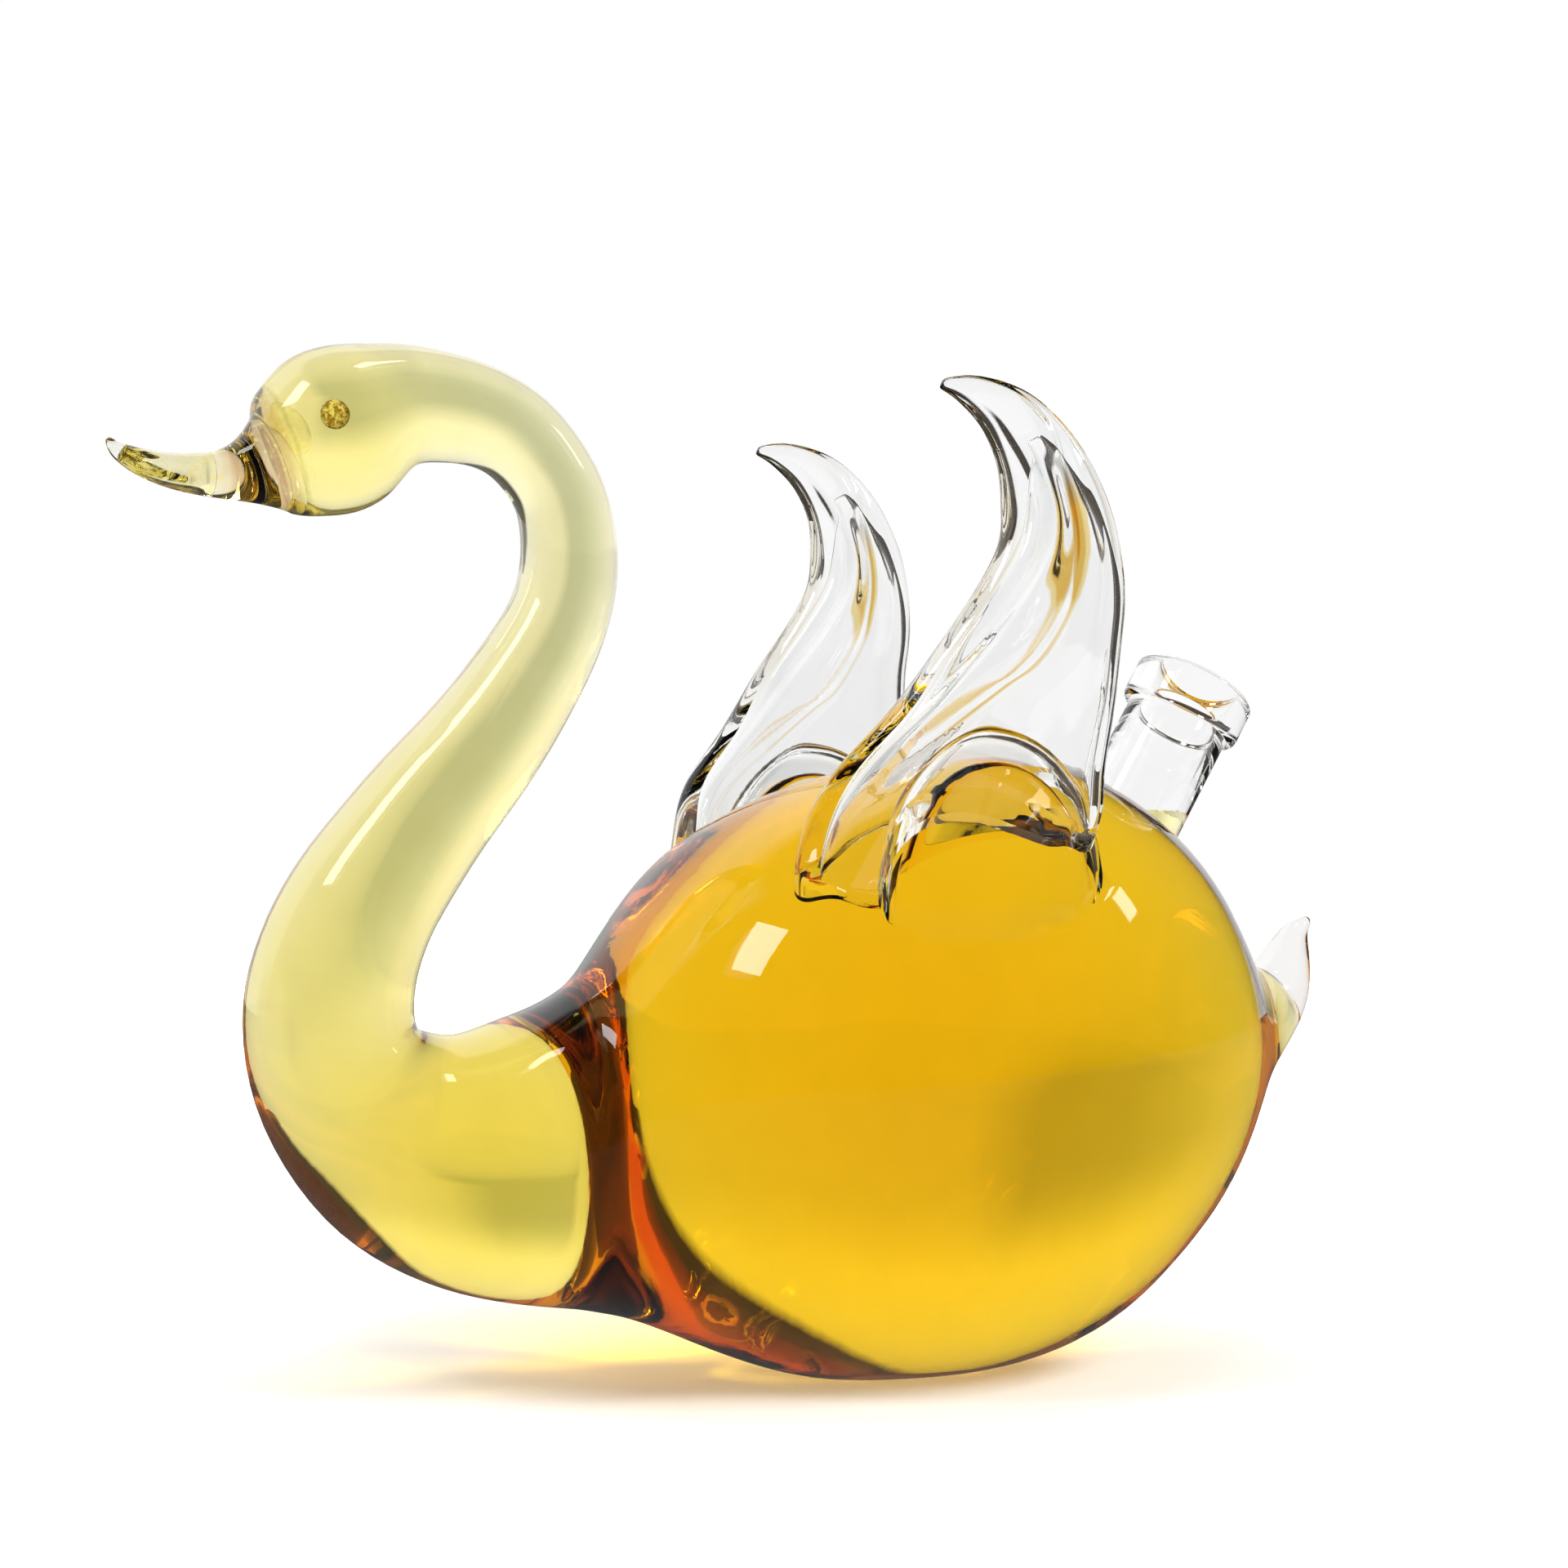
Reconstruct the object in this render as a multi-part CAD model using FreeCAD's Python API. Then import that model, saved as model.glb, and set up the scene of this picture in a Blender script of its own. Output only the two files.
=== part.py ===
import FreeCAD, Part
import math
import os

# Blown-glass decanter in the shape of a swan.  Beak, head, neck, chest and body share one
# cavity, which is full of wine up to a level in the filler neck.  +X points to the tail,
# +Z up, and the origin is the middle of the flat foot.  Lengths are in millimetres,
# angles in degrees.

# Glass walls
WALL = 2.2
FOOT_WALL = 3.4
BEAK_WALL = 1.2
WING_WALL = 1.9

# Body
BODY_FRONT = 74.5
BODY_LENGTH = 167.5
BODY_HEIGHT = 128.0
BODY_WIDTH = 123.0

# Weld ring between chest and body
WELD_LEVEL = 46.8
WELD_HEIGHT = 59.0
WELD_WIDTH = 52.0
WELD_LEAN_ANGLE = -3.0

# Neck
NECK_HEIGHT = 146.4
NECK_REACH = 40.0
NECK_TUBE = 18.4
NECK_BASE = 32.4

# Head, eyes and beak
HEAD_LENGTH = 27.5
HEAD_DROP = 12.9
HEAD_HEIGHT = 32.0
HEAD_WIDTH = 30.0
EYE_DIAMETER = 5.6
EYE_THICKNESS = 1.9
EYE_PROUD = 0.5
EYE_SETBACK = 18.5
EYE_DROP = 5.2
BEAK_LENGTH = 30.8
BEAK_DIP = 3.0

# Wings, their root below the body's top and in from its side, and the shoulders under them
WING_X = -3.0
WING_SINK = 44.0
WING_RISE = 111.5
WING_CHORD = 60.0
WING_THICKNESS = 24.0
WING_INSET = 11.5
FLUTE_DEPTH_SHARE = 0.32
SHOULDER_BACK = 7.0
SHOULDER_INSET = 16.0
SHOULDER_RISE = 2.0
SHOULDER_SIZE = (24.0, 10.5, 34.0)

# Tail
TAIL_REACH = 10.6
TAIL_RISE = 18.0

# Filler neck and its rolled lip: the mouth is forward of the tail's root, above the body
MOUTH_FORWARD = 17.2
MOUTH_RISE = 15.0
SPOUT_LEAN_ANGLE = 30.3
SPOUT_DIAMETER = 22.6
SPOUT_BORE = 18.2
SPOUT_DEPTH = 48.0
CORK_DEPTH = 24.0
CORK_RELIEF = 0.6
LIP_DIAMETER = 26.6
LIP_HEIGHT = 10.1
LIP_ROUND = 1.9

# Wine, its level below the body's top
WINE_DROP = 13.0

RING_POINTS = 16
WING_POINTS = 28

# Cross-sections of the body: place along the length, height of the middle, half height,
# each as a share of the length or height, half width as a share of half the width, lean.
BODY_SECTIONS = [
    (0.051, 0.377, 0.252, 0.403, 0),
    (0.081, 0.397, 0.280, 0.450, 0),
    (0.116, 0.422, 0.316, 0.555, 0),
    (0.170, 0.449, 0.371, 0.700, 0),
    (0.242, 0.461, 0.424, 0.835, 0),
    (0.337, 0.468, 0.471, 0.948, 0),
    (0.445, 0.480, 0.494, 0.997, 0),
    (0.546, 0.492, 0.503, 0.998, 0),
    (0.636, 0.503, 0.493, 0.956, 0),
    (0.713, 0.507, 0.455, 0.868, 0),
    (0.779, 0.514, 0.401, 0.754, 0),
    (0.839, 0.516, 0.336, 0.622, 0),
    (0.883, 0.514, 0.266, 0.500, 0),
    (0.919, 0.516, 0.190, 0.385, 0),
    (0.949, 0.528, 0.133, 0.285, 2),
    (0.976, 0.547, 0.094, 0.210, 9),
]
TAIL_ROOT = (1.0, 0.571, 0.070, 0.159, 25)

# Chest: place and height from the weld ring, as shares of the neck's reach and height,
# growth in height and width from the neck's base to the weld ring, lean.
CHEST_SECTIONS = [
    (-1.000, 0.152, 0.03, 0.08, -78),
    (-0.908, 0.094, 0.15, 0.29, -53),
    (-0.713, 0.042, 0.39, 0.64, -35),
    (-0.498, 0.014, 0.61, 0.98, -21),
    (-0.253, 0.001, 0.82, 1.18, -10),
]

# Neck from its base up to the nape: place and height as above, growth from the narrowest
# tube to the base, lean.
NECK_SECTIONS = [
    (-1.008, 0.221, 1.00, -96),
    (-0.943, 0.285, 0.89, -110),
    (-0.833, 0.346, 0.78, -120),
    (-0.688, 0.403, 0.67, -126),
    (-0.508, 0.468, 0.56, -129),
    (-0.320, 0.528, 0.45, -129),
    (-0.163, 0.584, 0.35, -126),
    (-0.030, 0.639, 0.26, -122),
    (0.093, 0.697, 0.17, -115),
    (0.163, 0.749, 0.11, -103),
    (0.188, 0.796, 0.08, -93),
    (0.178, 0.844, 0.04, -82),
    (0.133, 0.891, 0.00, -68),
    (0.037, 0.932, 0.00, -52),
    (-0.088, 0.966, 0.04, -36),
    (-0.243, 0.987, 0.11, -19),
    (-0.420, 0.997, 0.21, -6),
    (-0.612, 1.000, 0.34, 8),
]

# Head from the nape to the beak's seam: place, drop, half height, half width, lean.
HEAD_SECTIONS = [
    (0.200, 0.110, 0.825, 0.860, 19),
    (0.418, 0.330, 0.981, 0.987, 24),
    (0.655, 0.574, 1.000, 1.000, 26),
    (0.855, 0.822, 0.838, 0.853, 27),
    (1.000, 1.000, 0.625, 0.640, 22),
]

# Beak from the seam to the tip: place, dip, size as a share of the seam's height, then
# of its width, lean.
BEAK_SECTIONS = [
    (0.114, -0.40, 0.70, 0.73, 17),
    (0.237, -0.77, 0.53, 0.60, 10),
    (0.383, -0.97, 0.42, 0.52, 2),
    (0.568, -0.90, 0.35, 0.45, -7),
    (0.747, -0.55, 0.28, 0.375, -17),
    (0.877, -0.05, 0.21, 0.28, -29),
    (0.958, 0.45, 0.14, 0.19, -42),
    (1.000, 1.00, 0.05, 0.06, -58),
]
BEAK_HOLLOW_COUNT = 5

# Tail from its root to the tip: place, rise, size as a share of the root's, lean.
TAIL_SECTIONS = [
    (0.31, 0.25, 0.78, 50),
    (0.47, 0.56, 0.58, 70),
    (0.59, 0.78, 0.40, 76),
    (0.77, 0.93, 0.26, 45),
    (1.00, 1.00, 0.13, 10),
]

# Wing from its buried root to the tip: place along the chord, rise, chord, thickness,
# spread, lean, turn outward, then the main and the front flute's place across the chord.
WING_SECTIONS = [
    (-0.120, -0.080, 0.50, 0.50, 0.76, 4, 20, -0.35, -0.75),
    (-0.140, 0.000, 0.78, 0.68, 0.80, 4, 20, -0.35, -0.75),
    (-0.085, 0.126, 0.93, 0.80, 0.83, 2, 19, -0.30, -0.72),
    (-0.010, 0.242, 0.94, 0.86, 0.86, 2, 15, -0.25, -0.70),
    (0.038, 0.336, 0.89, 0.81, 0.90, 1, 10, -0.15, -0.66),
    (0.142, 0.448, 0.75, 0.71, 0.95, 1, 6, 0.08, -0.60),
    (0.222, 0.556, 0.62, 0.62, 0.99, 0, 4, 0.35, -0.50),
    (0.295, 0.646, 0.51, 0.56, 0.99, -3, 4, 0.48, -0.40),
    (0.330, 0.730, 0.42, 0.50, 0.98, -1, 4, 0.50, -0.34),
    (0.308, 0.815, 0.36, 0.43, 0.97, 10, 4, 0.48, -0.30),
    (0.247, 0.896, 0.28, 0.35, 0.96, 25, 4, 0.45, -0.30),
    (0.143, 0.960, 0.20, 0.26, 0.96, 40, 4, 0.45, -0.30),
    (0.013, 0.994, 0.11, 0.15, 0.96, 52, 4, 0.45, -0.30),
    (-0.083, 1.000, 0.035, 0.06, 0.96, 66, 4, 0.45, -0.30),
]
WING_HOLLOW_COUNT = 11
FLUTE_WIDTH_SHARE = 0.16
FLUTE_FADE_SHARE = 0.75


def blend(low, high, share):
    return low + (high - low) * share


def ring(x, z, half_height, half_width, lean):
    """Closed oval wire across the vessel, its middle on the plane of symmetry."""
    tilt = math.radians(lean)
    points = []
    for step in range(RING_POINTS):
        turn = 2 * math.pi * step / RING_POINTS
        up = half_height * math.sin(turn)
        points.append(FreeCAD.Vector(
            x - up * math.sin(tilt),
            half_width * math.cos(turn),
            z + up * math.cos(tilt),
        ))
    return closed_wire(points)


def closed_wire(points):
    curve = Part.BSplineCurve()
    curve.interpolate(Points=points, PeriodicFlag=True)
    return Part.Wire(curve.toShape())


def skin(sections, wall=0.0):
    """Solid through the sections, each drawn in by the wall."""
    wires = [ring(x, z, h - wall, w - wall, lean) for x, z, h, w, lean in sections]
    return Part.makeLoft(wires, True)


def weld_section():
    return (-BODY_FRONT, WELD_LEVEL, WELD_HEIGHT / 2, WELD_WIDTH / 2, WELD_LEAN_ANGLE)


def tail_root():
    along, middle, height, width, lean = TAIL_ROOT
    x = -BODY_FRONT + along * BODY_LENGTH
    return (x, middle * BODY_HEIGHT, height * BODY_HEIGHT, width * BODY_WIDTH / 2, lean)


def body_sections():
    found = [weld_section()]
    for along, middle, height, width, lean in BODY_SECTIONS:
        x = -BODY_FRONT + along * BODY_LENGTH
        found.append((x, middle * BODY_HEIGHT, height * BODY_HEIGHT, width * BODY_WIDTH / 2, lean))
    return found


def chest_sections():
    """From the neck's base round to the weld ring."""
    base = NECK_BASE / 2
    found = [neck_sections()[0]]
    for along, up, taller, wider, lean in CHEST_SECTIONS:
        x = -BODY_FRONT + along * NECK_REACH
        z = WELD_LEVEL + up * NECK_HEIGHT
        height = blend(base, WELD_HEIGHT / 2, taller)
        width = blend(base, WELD_WIDTH / 2, wider)
        found.append((x, z, height, width, lean))
    return found + [weld_section()]


def neck_sections():
    """From the chest up to the nape."""
    found = []
    for along, up, growth, lean in NECK_SECTIONS:
        radius = blend(NECK_TUBE, NECK_BASE, growth) / 2
        x = -BODY_FRONT + along * NECK_REACH
        found.append((x, WELD_LEVEL + up * NECK_HEIGHT, radius, radius, lean))
    return found


def head_sections():
    """From the nape forward to the beak's seam."""
    nape = neck_sections()[-1]
    found = [nape]
    for along, down, height, width, lean in HEAD_SECTIONS:
        x = nape[0] - along * HEAD_LENGTH
        z = nape[1] - down * HEAD_DROP
        found.append((x, z, height * HEAD_HEIGHT / 2, width * HEAD_WIDTH / 2, lean))
    return found


def beak_sections():
    """From the seam forward to the tip."""
    seam = head_sections()[-1]
    found = [seam]
    for along, lift, height, width, lean in BEAK_SECTIONS:
        x = seam[0] - along * BEAK_LENGTH
        found.append((x, seam[1] + lift * BEAK_DIP, height * seam[2], width * seam[3], lean))
    return found


def tail_sections():
    root = tail_root()
    found = [root]
    for along, up, size, lean in TAIL_SECTIONS:
        x = root[0] + along * TAIL_REACH
        found.append((x, root[1] + up * TAIL_RISE, size * root[2], size * root[3], lean))
    return found


def ellipsoid(centre, half_sizes):
    ball = Part.makeSphere(1.0)
    matrix = FreeCAD.Matrix()
    matrix.scale(FreeCAD.Vector(*half_sizes))
    matrix.move(FreeCAD.Vector(*centre))
    return ball.transformGeometry(matrix)


def shoulders(wall=0.0):
    """Two bulges of the back, one under each wing."""
    size = [half - wall for half in SHOULDER_SIZE]
    level = BODY_HEIGHT + SHOULDER_RISE - SHOULDER_SIZE[2]
    out = BODY_WIDTH / 2 - SHOULDER_INSET
    return [ellipsoid((WING_X + SHOULDER_BACK, side * out, level), size) for side in (-1, 1)]


def above(level):
    """Everything of the body's extent above a level."""
    reach = 2 * (BODY_LENGTH + BODY_HEIGHT + NECK_HEIGHT)
    corner = FreeCAD.Vector(-reach / 2, -reach / 2, level)
    return Part.makeBox(reach, reach, reach, corner)


def spout_axis():
    lean = math.radians(SPOUT_LEAN_ANGLE)
    return FreeCAD.Vector(math.sin(lean), 0, math.cos(lean))


def along_spout(diameter, start, end):
    """Rod on the filler neck's axis, from one depth below the mouth to another."""
    axis = spout_axis()
    mouth = FreeCAD.Vector(tail_root()[0] - MOUTH_FORWARD, 0, BODY_HEIGHT + MOUTH_RISE)
    base = mouth - axis * start
    return Part.makeCylinder(diameter / 2, start - end, base, axis)


def bore(end):
    """The filler neck's inside: true to size as deep as a cork goes, and a little wider below."""
    wider = along_spout(SPOUT_BORE + CORK_RELIEF, SPOUT_DEPTH, CORK_DEPTH)
    return wider.fuse(along_spout(SPOUT_BORE, CORK_DEPTH, end))


def body_outside():
    """Body with its shoulders, filled, standing on its flat foot."""
    solid = skin(body_sections() + [tail_root()])
    return solid.fuse(shoulders()).common(above(0)).removeSplitter()


def body_cavity():
    solid = skin(body_sections(), WALL)
    return solid.fuse(shoulders(WALL)).common(above(FOOT_WALL)).removeSplitter()


def body_bulb(outside, cavity):
    return outside.cut(cavity).cut(bore(LIP_HEIGHT))


def neck_tube():
    path = neck_sections()
    chest = chest_sections()
    upper = skin(path).cut(skin(path, WALL))
    lower = skin(chest).cut(skin(chest, WALL))
    return upper.fuse(lower)


def eye_left():
    nape = neck_sections()[-1]
    level = nape[1] - EYE_DROP
    middle = nape[1] - HEAD_DROP * EYE_SETBACK / HEAD_LENGTH
    bulge = math.sqrt(1 - ((level - middle) / (HEAD_HEIGHT / 2)) ** 2)
    out = HEAD_WIDTH / 2 * bulge + EYE_PROUD - EYE_THICKNESS / 2
    half = (EYE_DIAMETER / 2, EYE_THICKNESS / 2, EYE_DIAMETER / 2)
    return ellipsoid((nape[0] - EYE_SETBACK, -out, level), half)


def head_bulb(left_eye, right_eye):
    sections = head_sections()
    return skin(sections).cut(skin(sections, WALL)).cut(left_eye).cut(right_eye)


def beak_cavity():
    """Narrows from the head's wall to the beak's own, and ends before the tip."""
    wires = []
    for number, (x, z, height, width, lean) in enumerate(beak_sections()[:BEAK_HOLLOW_COUNT + 1]):
        wall = blend(WALL, BEAK_WALL, min(1.0, number / 2))
        wires.append(ring(x, z, height - wall, width - wall, lean))
    return Part.makeLoft(wires, True)


def beak():
    return skin(beak_sections()).cut(beak_cavity())


def wing_wire(section, wall):
    """Fluted oval across the left wing; both faces dip along the same two lines."""
    along, up, chord, thickness, spread, lean, turn_out, main_flute, front_flute = section
    x = WING_X + along * WING_CHORD
    z = BODY_HEIGHT - WING_SINK + up * WING_RISE
    side = spread * (BODY_WIDTH / 2 - WING_INSET)
    half_chord = chord * WING_CHORD / 2 - wall
    half_thickness = thickness * WING_THICKNESS / 2 - wall
    depth = FLUTE_DEPTH_SHARE * min(1.0, (1.0 - up) / (1.0 - FLUTE_FADE_SHARE))
    tilt = math.radians(lean)
    points = []
    for step in range(WING_POINTS):
        turn = 2 * math.pi * step / WING_POINTS
        across = math.cos(turn)
        main = math.exp(-((across - main_flute) / FLUTE_WIDTH_SHARE) ** 2)
        front = math.exp(-((across - front_flute) / FLUTE_WIDTH_SHARE) ** 2)
        out = half_thickness * math.sin(turn) * (1 - depth * main - depth * front / 2)
        out += half_chord * across * math.sin(math.radians(turn_out))
        points.append(FreeCAD.Vector(
            x + half_chord * across * math.cos(tilt),
            -side - out,
            z + half_chord * across * math.sin(tilt),
        ))
    return closed_wire(points)


def wing_left(outside):
    """Hollow fluted wing, seated on the body's outside, which closes it."""
    shell = Part.makeLoft([wing_wire(row, 0.0) for row in WING_SECTIONS], True)
    hollow = Part.makeLoft([wing_wire(row, WING_WALL) for row in WING_SECTIONS[:WING_HOLLOW_COUNT]], True)
    return shell.cut(outside).cut(hollow)


def mirrored(shape):
    """The same piece on the other side of the plane of symmetry."""
    return shape.mirror(FreeCAD.Vector(0, 0, 0), FreeCAD.Vector(0, 1, 0))


def filler_neck(outside):
    tube = along_spout(SPOUT_DIAMETER, SPOUT_DEPTH, LIP_HEIGHT)
    return tube.cut(outside).cut(bore(LIP_HEIGHT))


def mouth_ring():
    rim = along_spout(LIP_DIAMETER, LIP_HEIGHT, 0)
    circles = [edge for edge in rim.Edges if isinstance(edge.Curve, Part.Circle)]
    rim = rim.makeFillet(LIP_ROUND, circles)
    return rim.cut(along_spout(SPOUT_BORE, LIP_HEIGHT, 0))


def tail():
    return skin(tail_sections())


def wine_fill(cavity):
    """Fills the vessel from the beak to the body, and the filler neck to its level."""
    plug = bore(LIP_HEIGHT).cut(above(BODY_HEIGHT - WINE_DROP))
    neck = skin(neck_sections(), WALL)
    chest = skin(chest_sections(), WALL)
    head = skin(head_sections(), WALL)
    return cavity.fuse([plug, chest, neck, head, beak_cavity()])


def biggest(shape):
    return max(shape.Solids, key=lambda solid: solid.Volume)


def save(name, shape):
    solid = biggest(shape)
    solid.exportStep("parts/" + name + ".step")
    print(name, "solids", len(shape.Solids), "valid", solid.isValid(), "volume", round(solid.Volume))


def main():
    os.makedirs("parts", exist_ok=True)
    outside = body_outside()
    cavity = body_cavity()
    left_eye = eye_left()
    right_eye = mirrored(left_eye)
    left_wing = wing_left(outside)
    save("body_bulb", body_bulb(outside, cavity))
    save("neck_tube", neck_tube())
    save("head_bulb", head_bulb(left_eye, right_eye))
    save("beak", beak())
    save("eye_left", left_eye)
    save("eye_right", right_eye)
    save("wing_left", left_wing)
    save("wing_right", mirrored(left_wing))
    save("filler_neck", filler_neck(outside))
    save("mouth_ring", mouth_ring())
    save("tail", tail())
    save("wine_fill", wine_fill(cavity))


main()
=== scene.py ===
import math

import bpy
from mathutils import Matrix, Vector


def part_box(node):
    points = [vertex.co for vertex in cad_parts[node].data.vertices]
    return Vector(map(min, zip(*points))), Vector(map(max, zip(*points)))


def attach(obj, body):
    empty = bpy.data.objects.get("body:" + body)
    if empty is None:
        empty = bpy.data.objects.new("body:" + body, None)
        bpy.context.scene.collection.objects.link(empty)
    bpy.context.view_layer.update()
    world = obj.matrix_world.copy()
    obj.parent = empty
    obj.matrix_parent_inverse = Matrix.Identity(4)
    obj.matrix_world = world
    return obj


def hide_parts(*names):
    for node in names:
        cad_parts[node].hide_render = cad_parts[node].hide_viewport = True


# Swan decanter of blown glass, full of golden wine.  Beak, head, neck, chest and body are one
# vessel; the wings are hollow horns of clear glass set on the shoulders.  +X points to the
# tail, +Z up, the foot stands on Z 0.  Lengths are in metres, angles in radians.

bl_info = {
    "name": "Swan Decanter",
    "version": (1, 0, 0),
    "blender": (4, 5, 0),
    "location": "View3D > Sidebar > Decanter",
    "description": "Builds a blown-glass swan decanter filled with golden wine, and its studio",
    "category": "Add Mesh",
}

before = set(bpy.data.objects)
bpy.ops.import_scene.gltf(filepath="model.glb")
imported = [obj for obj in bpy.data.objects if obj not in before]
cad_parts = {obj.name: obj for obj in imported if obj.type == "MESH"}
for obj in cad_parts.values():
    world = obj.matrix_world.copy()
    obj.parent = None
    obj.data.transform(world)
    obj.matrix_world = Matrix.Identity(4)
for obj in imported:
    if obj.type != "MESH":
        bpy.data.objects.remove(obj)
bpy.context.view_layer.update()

# Cross-sections of the body from the weld ring to the tail's root: place along the length,
# height of the middle and half height as shares of the body's, half width as a share of half
# the body's width, lean in degrees.
BODY_SECTIONS = [
    (0.051, 0.377, 0.252, 0.403, 0), (0.081, 0.397, 0.280, 0.450, 0),
    (0.116, 0.422, 0.316, 0.555, 0), (0.170, 0.449, 0.371, 0.700, 0),
    (0.242, 0.461, 0.424, 0.835, 0), (0.337, 0.468, 0.471, 0.948, 0),
    (0.445, 0.480, 0.494, 0.997, 0), (0.546, 0.492, 0.503, 0.998, 0),
    (0.636, 0.503, 0.493, 0.956, 0), (0.713, 0.507, 0.455, 0.868, 0),
    (0.779, 0.514, 0.401, 0.754, 0), (0.839, 0.516, 0.336, 0.622, 0),
    (0.883, 0.514, 0.266, 0.500, 0), (0.919, 0.516, 0.190, 0.385, 0),
    (0.949, 0.528, 0.133, 0.285, 2), (0.976, 0.547, 0.094, 0.210, 9),
    (1.000, 0.571, 0.070, 0.159, 25),
]

# Chest from the neck's base round to the weld ring: place and height from the weld ring as
# shares of the neck's reach and height, growth in height and in width, lean.
CHEST_SECTIONS = [
    (-1.000, 0.152, 0.03, 0.08, -78), (-0.908, 0.094, 0.15, 0.29, -53),
    (-0.713, 0.042, 0.39, 0.64, -35), (-0.498, 0.014, 0.61, 0.98, -21),
    (-0.253, 0.001, 0.82, 1.18, -10),
]

# Neck from its base up to the nape: place and height as above, growth from the narrowest
# tube to the base, lean.
NECK_SECTIONS = [
    (-1.008, 0.221, 1.00, -96), (-0.943, 0.285, 0.89, -110), (-0.833, 0.346, 0.78, -120),
    (-0.688, 0.403, 0.67, -126), (-0.508, 0.468, 0.56, -129), (-0.320, 0.528, 0.45, -129),
    (-0.163, 0.584, 0.35, -126), (-0.030, 0.639, 0.26, -122), (0.093, 0.697, 0.17, -115),
    (0.163, 0.749, 0.11, -103), (0.188, 0.796, 0.08, -93), (0.178, 0.844, 0.04, -82),
    (0.133, 0.891, 0.00, -68), (0.037, 0.932, 0.00, -52), (-0.088, 0.966, 0.04, -36),
    (-0.243, 0.987, 0.11, -19), (-0.420, 0.997, 0.21, -6), (-0.612, 1.000, 0.34, 8),
]

# Head from the nape to the beak's seam: place, drop, half height, half width, lean.
HEAD_SECTIONS = [
    (0.200, 0.110, 0.825, 0.860, 19), (0.418, 0.330, 0.981, 0.987, 24),
    (0.655, 0.574, 1.000, 1.000, 26), (0.855, 0.822, 0.845, 0.860, 27),
    (0.935, 0.917, 0.762, 0.776, 26), (0.985, 0.982, 0.670, 0.684, 23),
    (1.000, 1.000, 0.625, 0.640, 22),
]

# Beak from the seam to the tip: place, dip, size as a share of the seam's height, then of
# its width, lean.
BEAK_SECTIONS = [
    (0.030, -0.12, 0.91, 0.92, 21), (0.114, -0.40, 0.72, 0.75, 17),
    (0.237, -0.77, 0.53, 0.60, 10), (0.383, -0.97, 0.42, 0.52, 2),
    (0.568, -0.90, 0.35, 0.45, -7), (0.747, -0.55, 0.28, 0.375, -17),
    (0.877, -0.05, 0.21, 0.28, -29), (0.958, 0.45, 0.14, 0.19, -42),
    (1.000, 1.00, 0.05, 0.06, -58),
]

# Tail from its root to the tip: place, rise, size as a share of the root's, lean.
TAIL_SECTIONS = [
    (0.31, 0.25, 0.78, 50), (0.47, 0.56, 0.58, 70), (0.59, 0.78, 0.40, 76),
    (0.77, 0.93, 0.26, 45), (1.00, 1.00, 0.13, 10),
]

# Wing from its buried root to the tip: place along the chord, rise, chord, thickness, spread,
# lean, turn outward.
WING_SECTIONS = [
    (-0.090, -0.080, 0.46, 0.42, 0.74, 4, 0), (-0.090, 0.000, 0.70, 0.56, 0.78, 4, 6),
    (-0.060, 0.126, 0.88, 0.72, 0.82, 2, 13), (-0.010, 0.242, 0.94, 0.86, 0.86, 2, 15),
    (0.038, 0.336, 0.89, 0.81, 0.90, 1, 10), (0.142, 0.448, 0.75, 0.71, 0.95, 1, 6),
    (0.222, 0.556, 0.62, 0.62, 0.99, 0, 4), (0.295, 0.646, 0.51, 0.56, 0.99, -3, 4),
    (0.330, 0.730, 0.42, 0.50, 0.98, -1, 4), (0.308, 0.815, 0.36, 0.43, 0.97, 10, 4),
    (0.247, 0.896, 0.28, 0.35, 0.96, 25, 4), (0.143, 0.960, 0.20, 0.26, 0.96, 40, 4),
    (0.013, 0.994, 0.11, 0.15, 0.96, 52, 4), (-0.083, 1.000, 0.035, 0.06, 0.96, 66, 4),
]

# Flutes of a wing: rise, then place across the chord from the front edge at -1 to the back
# edge at 1.
MAIN_FLUTE = [
    (0.00, -0.85), (0.26, -0.75), (0.41, -0.45), (0.48, -0.20), (0.52, 0.02),
    (0.57, 0.14), (0.63, 0.20), (0.70, 0.18), (0.79, 0.21), (0.855, 0.28),
    (0.89, 0.45), (0.93, 0.70), (1.00, 0.92),
]
FRONT_FLUTE = [
    (0.00, -0.95), (0.40, -0.85), (0.50, -0.72), (0.58, -0.58), (0.67, -0.44),
    (0.79, -0.20), (0.86, -0.25), (0.92, -0.30), (1.00, -0.20),
]
BACK_FLUTE = [(0.00, 0.80), (0.40, 0.72), (0.60, 0.62), (0.80, 0.66), (1.00, 0.80)]

# Half width of the amber thread in the main flute by rise, as a share of its widest.
THREAD_WIDTH = [
    (0.00, 0.0), (0.38, 0.0), (0.42, 0.16), (0.60, 0.13), (0.64, 0.35),
    (0.70, 0.80), (0.77, 1.0), (0.84, 0.55), (0.895, 0.05), (1.00, 0.0),
]

# Depth and width of each flute as shares of the main flute's.
FLUTES = ((MAIN_FLUTE, 1.0, 1.0), (FRONT_FLUTE, 0.65, 0.7), (BACK_FLUTE, 0.35, 0.6))

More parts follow.
